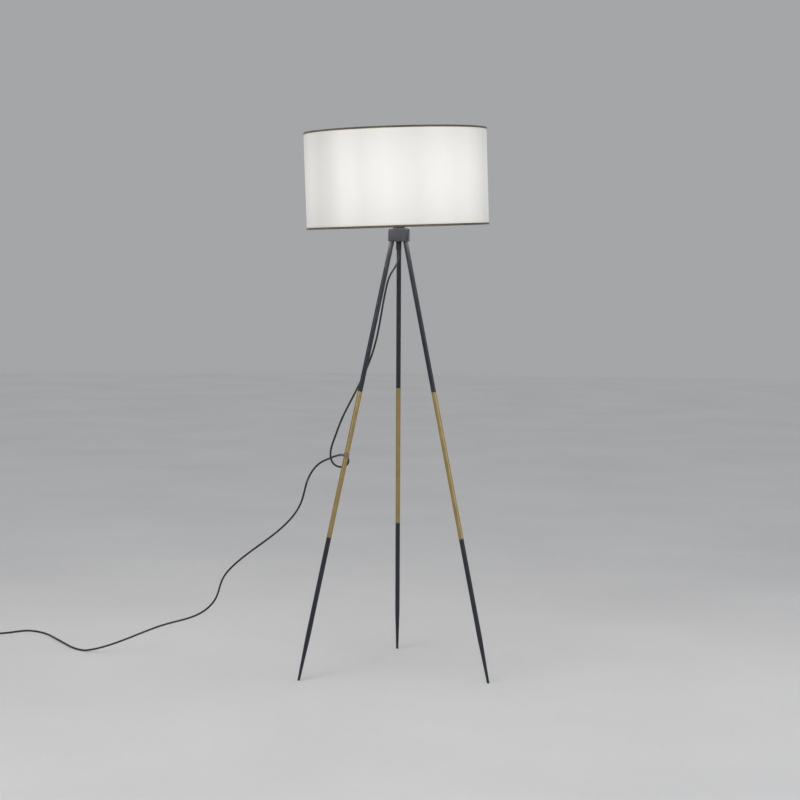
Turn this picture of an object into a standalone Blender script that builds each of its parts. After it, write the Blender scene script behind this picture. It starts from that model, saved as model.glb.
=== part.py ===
"""A tripod floor lamp with a drum shade, built as the separate pieces it is made of.

Metres, +Z up. The lamp is drawn about its own upright axis, on a floor at z = 0. At the end
one empty moves it all, so that the middle of the lamp's footprint is at the origin.
"""
import math

import bmesh
import bpy
import numpy as np
from mathutils import Matrix, Vector

# ------------------------------------------------------------------ driving dimensions
GAP = 0.0003                  # air between two faces that touch
SLIP = 0.0003                 # air round a spigot or a stud in its hole

# Legs: three lengths screwed end to end, all on one sloping line.
SPLAY = math.radians(13.02)   # lean of a leg from upright
TRIPOD_TURN = math.radians(-1.24)
TUBE_R = 0.0065
TUBE_WALL = 0.0012
LOWER_LEN = 0.395             # floor to the first joint, along the leg
MIDDLE_LEN = 0.405            # the gold length
UPPER_LEN = 0.420             # up to the underside of the hub
TAPER_LEN = 0.121             # the lower length narrows over this much of its end
TIP_R = 0.0034                # radius at the floor
FOOT_LEN = 0.014
FOOT_PEG_R = 0.0015
FOOT_PEG_LEN = 0.008
JOINER_LEN = 0.044            # half of it in each tube
STUD_R = 0.0040               # screws into the hub
STUD_LEN = 0.016              # past the end of the tube
STUD_ROOT_LEN = 0.022         # inside the tube

# Hub
HUB_R = 0.0295
HUB_BODY_H = 0.0325
HUB_EDGE = 0.0012             # its rounded edges
HUB_LEG_R = 0.0213            # from the axis to a leg's centre line, at the underside
SOCKET_DEPTH = 0.0080         # how far a tube enters the hub
HUB_WELL_R = 0.0110           # the well round the nipple, open at the top
HUB_WELL_DEPTH = 0.0165
COVER_T = 0.0040
NIPPLE_R = 0.0050
NIPPLE_BORE_R = 0.0033
NUT_R = 0.0085
NUT_H = 0.0040

# Cord gland, under the hub
CORD_R = 0.0027
GLAND_R = 0.0077
GLAND_THREAD_R = 0.0061
GLAND_BODY_H = 0.0095
GLAND_NUT_H = 0.0142
GLAND_SPIGOT_LEN = 0.0050
SEAL_H = 0.0055

# Lampholder
CAP_H = 0.0220                # the lower cap that holds the switch
CAP_LIP = 0.00045              # the cap stands this proud of the sleeve
CAP_FOOT_R = 0.0150
HOLDER_WALL = 0.0022
SLEEVE_R = 0.01975            # the threaded outer sleeve
SLEEVE_H = 0.0460
SHOULDER_W = 0.00345          # the shade rests on this shoulder of the sleeve
SHOULDER_UP = 0.0140          # its lower face, up from the sleeve's foot
SHOULDER_T = 0.0024
INSERT_H = 0.0110
SHELL_R = 0.0142              # screw shell, outside
SHELL_T = 0.0004
SHELL_H = 0.0240
CONTACT_R = 0.0032
CONTACT_H = 0.0030
TERMINAL_X = 0.0090
TERMINAL_Y = 0.0040
TERMINAL_R = 0.0014
TERMINAL_HEAD_R = 0.0027
TERMINAL_HEAD_H = 0.0020
TERMINAL_LEN = 0.0070
CORE_R = 0.0009
KNOB_UP = 0.0120              # the switch shaft's height in the cap
KNOB_R = 0.0055
KNOB_LEN = 0.0130
SHAFT_R = 0.0020
CAM_R = 0.0046
CAM_T = 0.0030

# Bulb
BULB_CAP_R = 0.0131
BULB_CAP_H = 0.0240
BULB_R = 0.0300
BULB_BODY_H = 0.0360
BULB_GLOBE_H = 0.0460
BULB_WALL = 0.0012
BULB_TIP_R = 0.0045
BULB_TIP_H = 0.0016

# Shade: a drum, hung a little out of true on its bent frame
SHADE_R = 0.2500
SHADE_H = 0.2631
SHADE_LEAN = math.radians(-2.33)  # its left side hangs lower
SHADE_NOD = math.radians(0.92)    # its front hangs lower
SHADE_SHIFT_X = -0.0042
SEAT_RISE = 0.0375            # the fitter ring's height over the lower edge
TRIM_T = 0.0006
TRIM_SHOWN = 0.0052
TRIM_INSIDE = 0.0100
FABRIC_T = 0.0006
LINER_T = 0.0004
WIRE_R = 0.0016
ARM_R = 0.0016
ARM_WELD = 0.0006             # weld between an arm's end and a ring
FITTER_W = 0.01025            # width of the shade's flat ring round the sleeve
FITTER_T = 0.0018
RING_NUT_W = 0.00605
RING_NUT_H = 0.0065

# Cord, clip and plug
CLIP_WALL = 0.0015
CLIP_H = 0.0100
CLIP_ROUTE_POINT = 18         # the route's point that the clip is near
CLIP_SEARCH = 0.020           # it holds the cord where it passes closest to the leg, within this
CLIP_BLOCK = 0.0070           # width of the block that the cord passes through
PLUG_LEN = 0.0360
PLUG_HALF_W = 0.0135
PLUG_HALF_T = 0.0070
PLUG_NOSE = 0.0090            # the cord end of the plug narrows to this half width
PIN_R = 0.0020
PIN_LEN = 0.0190
PIN_PITCH = 0.0186
PIN_ROOT = 0.0060
CORD_POINTS = 78

# Facets round a turn
FINE = 48
ROUND = 24
TUBE = 16
SMALL = 12
HUB_STEPS = 36

# The cord's route, from the gland to the plug, about the lamp's axis. Chosen by eye: it drops
# behind the left leg, turns round it in the clip, sags to the floor and runs off to the left.
CORD_ROUTE = (
    (0.000, 0.000, 1.1636), (0.000, 0.000, 1.146), (-0.004, -0.002, 1.130),
    (-0.013, -0.005, 1.113), (-0.023, -0.009, 1.096), (-0.031, -0.013, 1.071),
    (-0.038, -0.016, 1.037), (-0.065, -0.026, 0.897), (-0.080, -0.029, 0.853),
    (-0.120, -0.034, 0.766), (-0.1522, -0.0436, 0.7000), (-0.1707, -0.0355, 0.6499),
    (-0.1815, -0.0345, 0.6083), (-0.1736, -0.0295, 0.5790), (-0.1530, -0.0315, 0.5698),
    (-0.1368, -0.0387, 0.5765), (-0.1323, -0.0511, 0.5938), (-0.142, -0.061, 0.605),
    (-0.1592, -0.0705, 0.6060), (-0.1809, -0.0772, 0.5989), (-0.2040, -0.0662, 0.5871),
    (-0.228, -0.043, 0.563), (-0.249, -0.009, 0.518), (-0.262, 0.014, 0.470),
    (-0.302, 0.050, 0.406), (-0.380, 0.087, 0.337), (-0.457, 0.117, 0.273),
    (-0.493, 0.133, 0.226), (-0.511, 0.143, 0.174), (-0.560, 0.157, 0.124),
    (-0.650, 0.172, 0.092), (-0.835, 0.196, 0.019), (-0.900, 0.212, 0.003),
    (-0.957, 0.280, 0.003), (-1.020, 0.395, 0.003), (-1.071, 0.470, 0.003),
    (-1.118, 0.496, 0.003), (-1.165, 0.466, 0.003), (-1.225, 0.440, 0.003),
    (-1.290, 0.438, 0.0073),
)

# ------------------------------------------------------------------ derived dimensions
LEG_LEN = LOWER_LEN + MIDDLE_LEN + UPPER_LEN
FOOT_CIRCLE_R = HUB_LEG_R + LEG_LEN * math.sin(SPLAY)
HUB_Z = LEG_LEN * math.cos(SPLAY)
BORE_R = TUBE_R - TUBE_WALL
JOINER_R = BORE_R - SLIP
COVER_Z = HUB_Z + HUB_BODY_H + GAP
HOLDER_Z = COVER_Z + COVER_T + GAP
SLEEVE_Z = HOLDER_Z + CAP_H + GAP
SEAT_Z = SLEEVE_Z + SHOULDER_UP + SHOULDER_T + GAP
CAP_R = SLEEVE_R + CAP_LIP
SHOULDER_R = SLEEVE_R + SHOULDER_W
FITTER_R = SLEEVE_R + FITTER_W
RING_NUT_R = SLEEVE_R + RING_NUT_W
GLAND_NUT_Z = HUB_Z - GAP - GLAND_BODY_H - GAP
CORD_EXIT_Z = GLAND_NUT_Z - GLAND_NUT_H
LEAD_R = CORD_R
FABRIC_R = SHADE_R - TRIM_T - GAP
LINER_R = FABRIC_R - FABRIC_T - GAP
WIRE_RING_R = LINER_R - LINER_T - GAP - WIRE_R
WIRE_UP = TRIM_T + GAP + WIRE_R
LEG_NAMES = ("left", "right", "back")
LEG_ANGLES = [TRIPOD_TURN + math.radians(d) for d in (-150.0, -30.0, 90.0)]


# ------------------------------------------------------------------ tools
def clear_scene():
    for old in list(bpy.data.objects):
        bpy.data.objects.remove(old)


clear_scene()
PARTS = bpy.data.collections.new("tripod_floor_lamp")
CUTTERS = bpy.data.collections.new("cutters")
bpy.context.scene.collection.children.link(PARTS)
bpy.context.scene.collection.children.link(CUTTERS)


def finish(name, colour, roughness, metallic=0.0):
    """A Principled material of one colour."""
    made = bpy.data.materials.new(name)
    made.use_nodes = True
    shader = made.node_tree.nodes["Principled BSDF"]
    shader.inputs["Base Color"].default_value = (*colour, 1.0)
    shader.inputs["Roughness"].default_value = roughness
    shader.inputs["Metallic"].default_value = metallic
    made.diffuse_color = (*colour, 1.0)
    return made


BLACK_PAINT = finish("black_paint", (0.012, 0.013, 0.017), 0.38)
GOLD_PAINT = finish("gold_paint", (0.55, 0.38, 0.14), 0.36, 0.85)
ZINC = finish("zinc_plate", (0.62, 0.63, 0.64), 0.35, 1.0)
BRASS = finish("brass", (0.70, 0.52, 0.22), 0.32, 1.0)
NICKEL = finish("nickel", (0.70, 0.69, 0.66), 0.25, 1.0)
BLACK_PLASTIC = finish("black_plastic", (0.015, 0.015, 0.016), 0.45)
WHITE_PLASTIC = finish("white_plastic", (0.85, 0.85, 0.83), 0.35)
CERAMIC = finish("white_ceramic", (0.83, 0.82, 0.78), 0.30)
RUBBER = finish("black_rubber", (0.02, 0.02, 0.02), 0.75)
CORD_SKIN = finish("cord_black", (0.010, 0.010, 0.011), 0.5)
BROWN_CORE = finish("brown_core", (0.18, 0.07, 0.03), 0.5)
BLUE_CORE = finish("blue_core", (0.03, 0.12, 0.40), 0.5)
CLEAR_PLASTIC = finish("clear_plastic", (0.80, 0.80, 0.76), 0.15)
FABRIC = finish("shade_fabric", (0.90, 0.89, 0.85), 0.9)
LINER = finish("shade_liner", (0.93, 0.93, 0.91), 0.4)
TRIM = finish("shade_trim", (0.86, 0.80, 0.68), 0.85)
WIRE = finish("white_wire", (0.85, 0.85, 0.84), 0.4)
OPAL = finish("opal_globe", (0.95, 0.95, 0.93), 0.3)


def put(obj, material, parent, place=(0, 0, 0), turn=(0, 0, 0)):
    """Names the finish of a piece and puts it in the lamp's collection."""
    for linked in list(obj.users_collection):
        linked.objects.unlink(obj)
    PARTS.objects.link(obj)
    if material is not None:
        obj.data.materials.clear()
        obj.data.materials.append(material)
    obj.parent = parent
    obj.location = place
    obj.rotation_euler = turn
    return obj


def as_cutter(obj):
    """A hidden helper for a Boolean."""
    for linked in list(obj.users_collection):
        linked.objects.unlink(obj)
    CUTTERS.objects.link(obj)
    obj.hide_render = True
    obj.display_type = "WIRE"
    return obj


def empty(name, parent=None, place=(0, 0, 0), turn=(0, 0, 0)):
    frame = bpy.data.objects.new(name, None)
    PARTS.objects.link(frame)
    frame.parent = parent
    frame.location = place
    frame.rotation_euler = turn
    return frame


def turned(name, profile, steps=ROUND, material=None, parent=None, place=(0, 0, 0),
           turn=(0, 0, 0), closed=False):
    """Spins (radius, height) points, listed down the outside, about the local Z axis.

    An open profile begins and ends on the axis; a closed one makes a ring or a tube.
    """
    mesh = bpy.data.meshes.new(name)
    edges = [(i, i + 1) for i in range(len(profile) - 1)]
    if closed:
        edges.append((len(profile) - 1, 0))
    mesh.from_pydata([(r, 0.0, z) for r, z in profile], edges, [])
    obj = bpy.data.objects.new(name, mesh)
    screw = obj.modifiers.new("turn", "SCREW")
    screw.axis = "Z"
    screw.angle = 2 * math.pi
    screw.steps = steps
    screw.render_steps = steps
    screw.use_merge_vertices = True
    screw.merge_threshold = 0.00001
    screw.use_smooth_shade = True
    return put(obj, material, parent, place, turn)


def pipe_profile(outer, inner, low, high):
    """The closed outline of a plain tube or washer."""
    return [(outer, high), (outer, low), (inner, low), (inner, high)]


def disc_profile(radius, low, high):
    return [(0.0, high), (radius, high), (radius, low), (0.0, low)]


def box(name, low, high, parent=None, place=(0, 0, 0), turn=(0, 0, 0)):
    """A box from corner to corner in its own axes."""
    mesh = bpy.data.meshes.new(name)
    form = bmesh.new()
    bmesh.ops.create_cube(form, size=1.0)
    size = [b - a for a, b in zip(low, high)]
    middle = [(a + b) / 2 for a, b in zip(low, high)]
    bmesh.ops.scale(form, vec=size, verts=form.verts)
    bmesh.ops.translate(form, vec=middle, verts=form.verts)
    form.to_mesh(mesh)
    form.free()
    obj = bpy.data.objects.new(name, mesh)
    return put(obj, None, parent, place, turn)


def combine(obj, other, operation):
    """Joins or cuts one piece with a helper."""
    change = obj.modifiers.new(operation.lower(), "BOOLEAN")
    change.operation = operation
    change.solver = "EXACT"
    change.object = as_cutter(other)
    return obj


def rod_between(name, start, end, radius, steps, material, parent):
    """A straight round bar from one point to another."""
    along = end - start
    turn = along.to_track_quat("Z", "Y").to_euler()
    profile = disc_profile(radius, 0.0, along.length)
    return turned(name, profile, steps, material, parent, start, turn)


def smooth_curve(points, count, crowd=0.020):
    """Points on a natural cubic spline, packed closer together where it bends.

    The spline's parameter is the chord length. Each step's share of the points is its length
    times one plus the curvature times crowd.
    """
    points = np.array(points, float)
    knots = np.concatenate(([0.0], np.cumsum(np.linalg.norm(np.diff(points, axis=0), axis=1))))
    h = np.diff(knots)
    n = len(points)
    system = np.eye(n)
    right = np.zeros((n, 3))
    for i in range(1, n - 1):
        system[i, i - 1:i + 2] = h[i - 1], 2 * (h[i - 1] + h[i]), h[i]
        right[i] = 6 * ((points[i + 1] - points[i]) / h[i] - (points[i] - points[i - 1]) / h[i - 1])
    bend = np.linalg.solve(system, right)
    t = np.linspace(0.0, knots[-1], 4000)
    k = np.clip(np.searchsorted(knots, t, side="right") - 1, 0, n - 2)
    a = (knots[k + 1] - t)[:, None]
    b = (t - knots[k])[:, None]
    span = h[k][:, None]
    fine = (bend[k] * a ** 3 + bend[k + 1] * b ** 3) / (6 * span)
    fine += (points[k] / span - bend[k] * span / 6) * a
    fine += (points[k + 1] / span - bend[k + 1] * span / 6) * b
    step = np.linalg.norm(np.diff(fine, axis=0), axis=1)
    aim = np.diff(fine, axis=0) / step[:, None]
    turn = np.linalg.norm(np.diff(aim, axis=0), axis=1) / step[1:]
    curvature = np.concatenate((turn[:1], turn))
    share = np.concatenate(([0.0], np.cumsum(step * (1 + crowd * curvature))))
    wanted = np.linspace(0.0, share[-1], count)
    return np.stack([np.interp(wanted, share, fine[:, axis]) for axis in range(3)], axis=1)


def cable(name, points, radius, material, parent, sides=2):
    """A tube along points, with filled ends."""
    curve = bpy.data.curves.new(name, "CURVE")
    curve.dimensions = "3D"
    curve.bevel_depth = radius
    curve.bevel_resolution = sides
    curve.use_fill_caps = True
    spline = curve.splines.new("POLY")
    spline.points.add(len(points) - 1)
    for point, place in zip(spline.points, points):
        point.co = (*place, 1.0)
    return put(bpy.data.objects.new(name, curve), material, parent)


# ------------------------------------------------------------------ legs
def leg_frame(lamp, name, angle):
    """An empty at a foot, whose Z axis runs up along the leg."""
    foot = (FOOT_CIRCLE_R * math.cos(angle), FOOT_CIRCLE_R * math.sin(angle), 0.0)
    return empty(f"leg_{name}", lamp, foot, (0.0, -SPLAY, angle))


def taper_radius(along):
    """Radius of the tapered end, at a distance from the floor."""
    return TIP_R + (TUBE_R - TIP_R) * min(along / TAPER_LEN, 1.0)


def make_foot(name, frame, floor):
    """A plastic tip with a peg, cut level with the floor."""
    below = -2 * TIP_R * math.sin(SPLAY)
    peg_top = FOOT_LEN + FOOT_PEG_LEN
    profile = [(0.0, peg_top), (FOOT_PEG_R, peg_top), (FOOT_PEG_R, FOOT_LEN),
               (taper_radius(FOOT_LEN), FOOT_LEN), (TIP_R, 0.0), (TIP_R, below), (0.0, below)]
    foot = turned(f"foot_tip_{name}", profile, TUBE, BLACK_PLASTIC, frame)
    return combine(foot, floor, "DIFFERENCE")


def make_lower(name, frame):
    """The turned lower length: a tapering bar, bored at its top and drilled at its tip."""
    low = FOOT_LEN + GAP
    top = LOWER_LEN
    bore_floor = top - JOINER_LEN / 2 - GAP
    peg_hole = FOOT_LEN + FOOT_PEG_LEN + GAP
    peg_r = FOOT_PEG_R + SLIP
    profile = [(0.0, bore_floor), (BORE_R, bore_floor), (BORE_R, top), (TUBE_R, top),
               (TUBE_R, TAPER_LEN), (taper_radius(low), low), (peg_r, low), (peg_r, peg_hole),
               (0.0, peg_hole)]
    return turned(f"leg_lower_{name}", profile, TUBE, BLACK_PAINT, frame)


def make_tube(kind, name, frame, low, high, material):
    """A plain length of tube."""
    outline = pipe_profile(TUBE_R, BORE_R, low, high)
    return turned(f"leg_{kind}_{name}", outline, TUBE, material, frame, closed=True)


def make_joiner(kind, name, frame, at):
    """The threaded stud inside two tubes where they meet."""
    half = JOINER_LEN / 2
    return turned(f"joiner_{kind}_{name}", disc_profile(JOINER_R, at - half, at + half),
                  TUBE, ZINC, frame)


def make_top_stud(name, frame):
    """The stud that screws the leg into the hub."""
    tube_top = LEG_LEN + SOCKET_DEPTH - GAP
    tip = tube_top + STUD_LEN
    root = tube_top - STUD_ROOT_LEN
    profile = [(0.0, tip), (STUD_R, tip), (STUD_R, tube_top), (JOINER_R, tube_top),
               (JOINER_R, root), (0.0, root)]
    return turned(f"top_stud_{name}", profile, TUBE, ZINC, frame)


def make_leg(lamp, name, angle):
    frame = leg_frame(lamp, name, angle)
    floor = box(f"floor_{name}", (-0.5, -0.5, -0.02), (0.5, 0.5, 0.0), lamp)
    first = LOWER_LEN
    second = LOWER_LEN + MIDDLE_LEN
    tube_top = LEG_LEN + SOCKET_DEPTH - GAP
    make_foot(name, frame, floor)
    make_lower(name, frame)
    make_joiner("lower", name, frame, first)
    make_tube("middle", name, frame, first + GAP, second, GOLD_PAINT)
    make_joiner("upper", name, frame, second)
    make_tube("upper", name, frame, second + GAP, tube_top, BLACK_PAINT)
    make_top_stud(name, frame)
    return frame


def leg_point(angle, height):
    """Where a leg's centre line is at a height."""
    out = FOOT_CIRCLE_R - height * math.tan(SPLAY)
    return Vector((out * math.cos(angle), out * math.sin(angle), height))


# ------------------------------------------------------------------ hub and gland
def make_hub(lamp, frames):
    """The cast puck that the legs screw into, with a well for the nipple's nut."""
    well = HUB_BODY_H - HUB_WELL_DEPTH
    hole = NIPPLE_R + SLIP
    profile = [(HUB_WELL_R, HUB_BODY_H), (HUB_R - HUB_EDGE * 0.3, HUB_BODY_H),
               (HUB_R, HUB_BODY_H - HUB_EDGE * 0.3), (HUB_R, HUB_EDGE),
               (HUB_R - HUB_EDGE * 0.3, HUB_EDGE * 0.3), (HUB_R - HUB_EDGE, 0.0), (hole, 0.0),
               (hole, well), (HUB_WELL_R, well)]
    hub = turned("hub_body", profile, HUB_STEPS, BLACK_PAINT, lamp, (0, 0, HUB_Z), closed=True)
    socket_r = TUBE_R + SLIP
    stud_hole = STUD_R + SLIP
    socket = LEG_LEN + SOCKET_DEPTH
    tip = socket + STUD_LEN + GAP
    start = LEG_LEN - 2 * TUBE_R
    for name, frame in frames.items():
        cut = [(0.0, tip), (stud_hole, tip), (stud_hole, socket), (socket_r, socket),
               (socket_r, start), (0.0, start)]
        combine(hub, turned(f"socket_{name}", cut, TUBE, None, frame), "DIFFERENCE")
    return hub


def make_cover(lamp):
    """The disc that closes the hub, clamped by the lampholder."""
    hole = NIPPLE_R + SLIP
    soft = COVER_T * 0.45
    profile = [(hole, COVER_T), (HUB_R - soft, COVER_T), (HUB_R - soft * 0.3, COVER_T - soft * 0.3),
               (HUB_R, COVER_T - soft), (HUB_R, 0.0), (hole, 0.0)]
    return turned("hub_cover", profile, HUB_STEPS, BLACK_PAINT, lamp, (0, 0, COVER_Z), closed=True)


def make_nipple(lamp):
    """The hollow threaded stem, from the gland's spigot to the lampholder, and its fixing."""
    low = HUB_Z + GLAND_SPIGOT_LEN + GAP
    high = HOLDER_Z + HOLDER_WALL + 0.0045
    turned("nipple", pipe_profile(NIPPLE_R, NIPPLE_BORE_R, low, high), 24, ZINC, lamp,
           closed=True)
    hole = NIPPLE_R + SLIP
    nut = HUB_Z + HUB_BODY_H - HUB_WELL_DEPTH + GAP
    outside = turned("nipple_nut", disc_profile(NUT_R, nut, nut + NUT_H), 6, ZINC, lamp)
    bore = turned("nipple_nut_bore", disc_profile(hole, nut - 0.001, nut + NUT_H + 0.001), 24,
                  None, lamp)
    combine(outside, bore, "DIFFERENCE")


def make_gland(lamp):
    """The cord grip: a body screwed into the hub, a rubber seal and the nut that squeezes it."""
    top = HUB_Z - GAP
    low = top - GLAND_BODY_H
    spigot = HUB_Z + GLAND_SPIGOT_LEN
    bore = LEAD_R + SLIP
    seal_top = low - 0.0045
    profile = [(bore, spigot), (NIPPLE_R, spigot), (NIPPLE_R, top), (GLAND_R, top),
               (GLAND_R, low), (GLAND_THREAD_R, low), (GLAND_THREAD_R, seal_top),
               (bore, seal_top)]
    turned("gland_body", profile, 24, BLACK_PLASTIC, lamp, closed=True)
    seal_low = seal_top - GAP - SEAL_H
    turned("gland_seal", pipe_profile(GLAND_THREAD_R - SLIP, bore, seal_low, seal_top - GAP), 24,
           RUBBER, lamp, closed=True)
    nut_top = GLAND_NUT_Z
    pocket = seal_low - GAP
    mouth = GLAND_R * 0.72
    profile = [(GLAND_THREAD_R + SLIP, nut_top), (GLAND_R, nut_top),
               (GLAND_R, nut_top - GLAND_NUT_H * 0.55), (GLAND_R * 0.93, CORD_EXIT_Z + 0.003),
               (mouth, CORD_EXIT_Z), (bore, CORD_EXIT_Z), (bore, pocket),
               (GLAND_THREAD_R + SLIP, pocket)]
    turned("gland_nut", profile, 24, BLACK_PLASTIC, lamp, closed=True)


# ------------------------------------------------------------------ lampholder
def make_holder(lamp):
    holder = empty("lampholder", lamp, (0, 0, HOLDER_Z))
    wall = HOLDER_WALL
    hole = NIPPLE_R + SLIP
    shoulder = CAP_FOOT_R + (CAP_R - CAP_FOOT_R) * 0.62
    profile = [(CAP_R - wall, CAP_H), (CAP_R, CAP_H), (CAP_R, CAP_H * 0.36),
               (shoulder, CAP_H * 0.11), (CAP_FOOT_R, 0.0), (hole, 0.0), (hole, wall),
               (CAP_FOOT_R - wall, wall), (shoulder - wall * 0.7, CAP_H * 0.11 + wall),
               (CAP_R - wall, CAP_H * 0.36 + wall * 0.5)]
    cap = turned("holder_cap", profile, ROUND, BLACK_PLASTIC, holder, closed=True)
    side = (math.pi / 2, 0.0, 0.0)
    hole_length = CAP_R + 0.004
    shaft_hole = turned("shaft_hole", disc_profile(SHAFT_R + SLIP, CAP_R - 3 * wall, hole_length),
                        SMALL, None, holder, (0, 0, KNOB_UP), side)
    combine(cap, shaft_hole, "DIFFERENCE")
    make_sleeve(holder)
    make_insert(holder)
    make_switch(holder, side)
    return holder


def make_sleeve(holder):
    """The threaded sleeve, with the shoulder that the shade sits on."""
    low = SLEEVE_Z - HOLDER_Z
    shoulder = low + SHOULDER_UP
    inner = SLEEVE_R - HOLDER_WALL
    profile = [(inner, low + SLEEVE_H), (SLEEVE_R, low + SLEEVE_H),
               (SLEEVE_R, shoulder + SHOULDER_T), (SHOULDER_R, shoulder + SHOULDER_T),
               (SHOULDER_R, shoulder), (SLEEVE_R, shoulder), (SLEEVE_R, low), (inner, low)]
    turned("holder_sleeve", profile, ROUND, BLACK_PLASTIC, holder, closed=True)
    ring_low = SEAT_Z - HOLDER_Z + FITTER_T + GAP
    grip = RING_NUT_R * 0.90
    bore = SLEEVE_R + SLIP
    flange = ring_low + RING_NUT_H * 0.3
    profile = [(bore, ring_low + RING_NUT_H), (grip, ring_low + RING_NUT_H), (grip, flange),
               (RING_NUT_R, flange), (RING_NUT_R, ring_low), (bore, ring_low)]
    turned("shade_ring_nut", profile, ROUND, BLACK_PLASTIC, holder, closed=True)


def make_insert(holder):
    """The ceramic core with its screw shell, centre contact and two terminal screws."""
    low = SLEEVE_Z - HOLDER_Z
    top = low + INSERT_H
    radius = SLEEVE_R - HOLDER_WALL - SLIP
    insert = turned("holder_insert", disc_profile(radius, low, top), ROUND, CERAMIC, holder)
    for name, sign in (("live", -1), ("neutral", 1)):
        place = (sign * TERMINAL_X, TERMINAL_Y, low)
        hole = disc_profile(TERMINAL_R + SLIP, -0.001, TERMINAL_LEN + GAP)
        combine(insert, turned(f"hole_{name}", hole, SMALL, None, holder, place), "DIFFERENCE")
        head = [(0.0, TERMINAL_LEN), (TERMINAL_R, TERMINAL_LEN), (TERMINAL_R, -GAP),
                (TERMINAL_HEAD_R, -GAP), (TERMINAL_HEAD_R, -GAP - TERMINAL_HEAD_H),
                (0.0, -GAP - TERMINAL_HEAD_H)]
        turned(f"terminal_screw_{name}", head, SMALL, BRASS, holder, place)
    inner = SHELL_R - SHELL_T
    lip = inner - 0.0030
    foot = top + GAP
    profile = [(inner, foot + SHELL_H), (SHELL_R, foot + SHELL_H), (SHELL_R, foot), (lip, foot),
               (lip, foot + SHELL_T), (inner, foot + SHELL_T)]
    turned("screw_shell", profile, ROUND, BRASS, holder, closed=True)
    turned("centre_contact", disc_profile(CONTACT_R, top + GAP, top + GAP + CONTACT_H), SMALL,
           BRASS, holder)


def make_switch(holder, side):
    """The turn knob with its shaft, and the cam it carries inside the cap."""
    inner_end = 0.0060
    outside = CAP_R + 0.0012
    profile = [(0.0, outside + KNOB_LEN), (KNOB_R * 0.8, outside + KNOB_LEN),
               (KNOB_R, outside + KNOB_LEN * 0.85), (KNOB_R, outside), (SHAFT_R, outside),
               (SHAFT_R, inner_end), (0.0, inner_end)]
    turned("switch_knob", profile, 16, BLACK_PLASTIC, holder, (0, 0, KNOB_UP), side)
    cam = pipe_profile(CAM_R, SHAFT_R + SLIP, inner_end + 0.0010, inner_end + 0.0010 + CAM_T)
    turned("switch_cam", cam, 8, WHITE_PLASTIC, holder, (0, 0, KNOB_UP), side, closed=True)


def make_wiring(lamp):
    """The lead inside the stem, and its two cores up to the terminal screws."""
    top = HOLDER_Z + HOLDER_WALL + 0.0052
    turned("lead_inside", disc_profile(LEAD_R, CORD_EXIT_Z, top), SMALL, CORD_SKIN, lamp)
    for name, sign, material in (("live", -1, BROWN_CORE), ("neutral", 1, BLUE_CORE)):
        head = SLEEVE_Z - 2 * GAP - TERMINAL_HEAD_H
        start = Vector((sign * CORE_R * 1.35, 0.0, top + GAP))
        end = Vector((sign * TERMINAL_X, TERMINAL_Y, head))
        middle = (start + end) / 2
        route = [start, (start.x, start.y, start.z + 0.0015),
                 (middle.x, middle.y, middle.z), (end.x, end.y, end.z - 0.0015), end]
        cable(f"core_{name}", smooth_curve(route, 9), CORE_R, material, lamp, 1)


# ------------------------------------------------------------------ bulb
def make_bulb(lamp):
    """An opal bulb: contact, screw cap, housing and globe, standing in the shell."""
    base = SLEEVE_Z + INSERT_H + GAP + CONTACT_H + GAP
    bulb = empty("bulb", lamp, (0, 0, base))
    turned("bulb_contact", disc_profile(BULB_TIP_R, 0.0, BULB_TIP_H), SMALL, NICKEL, bulb)
    cap_low = BULB_TIP_H + GAP
    cap_top = cap_low + BULB_CAP_H
    inner = BULB_CAP_R - 0.0006
    profile = [(inner, cap_top), (BULB_CAP_R, cap_top), (BULB_CAP_R, cap_low + 0.0040),
               (BULB_TIP_R + 0.0010, cap_low), (0.0, cap_low)]
    profile = [(0.0, cap_low + 0.0008), (BULB_TIP_R + 0.0006, cap_low + 0.0008),
               (inner, cap_low + 0.0046), *profile]
    turned("bulb_cap", profile, ROUND, NICKEL, bulb)
    neck = cap_top + GAP
    waist = neck + BULB_BODY_H
    wall = BULB_WALL
    rim = BULB_R * 0.94
    bend = [(BULB_CAP_R + (rim - BULB_CAP_R) * (s ** 0.75), neck + BULB_BODY_H * s)
            for s in (1.0, 0.72, 0.45, 0.2, 0.0)]
    profile = [(rim - wall, waist)] + bend
    profile += [(BULB_CAP_R - wall, neck)]
    profile += [(r - wall, z + wall * 0.5) for r, z in bend[-2:0:-1]]
    turned("bulb_body", profile, ROUND, WHITE_PLASTIC, bulb, closed=True)
    make_globe(bulb, waist + GAP, rim)


def make_globe(bulb, low, rim):
    """The opal dome: an arc that starts wider than its mouth and closes at the top."""
    rise = BULB_GLOBE_H - BULB_R
    outer = [(BULB_R * math.cos(t), low + rise + BULB_R * math.sin(t))
             for t in np.linspace(math.pi / 2, 0.0, 7)]
    outer[0] = (0.0, low + BULB_GLOBE_H)
    outer.append((rim, low))
    inner = [(rim - BULB_WALL, low)]
    r = BULB_R - BULB_WALL
    inner += [(r * math.cos(t), low + rise + r * math.sin(t))
              for t in np.linspace(0.0, math.pi / 2, 7)]
    inner[-1] = (0.0, low + rise + r)
    turned("bulb_globe", outer + inner, ROUND, OPAL, bulb)


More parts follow.
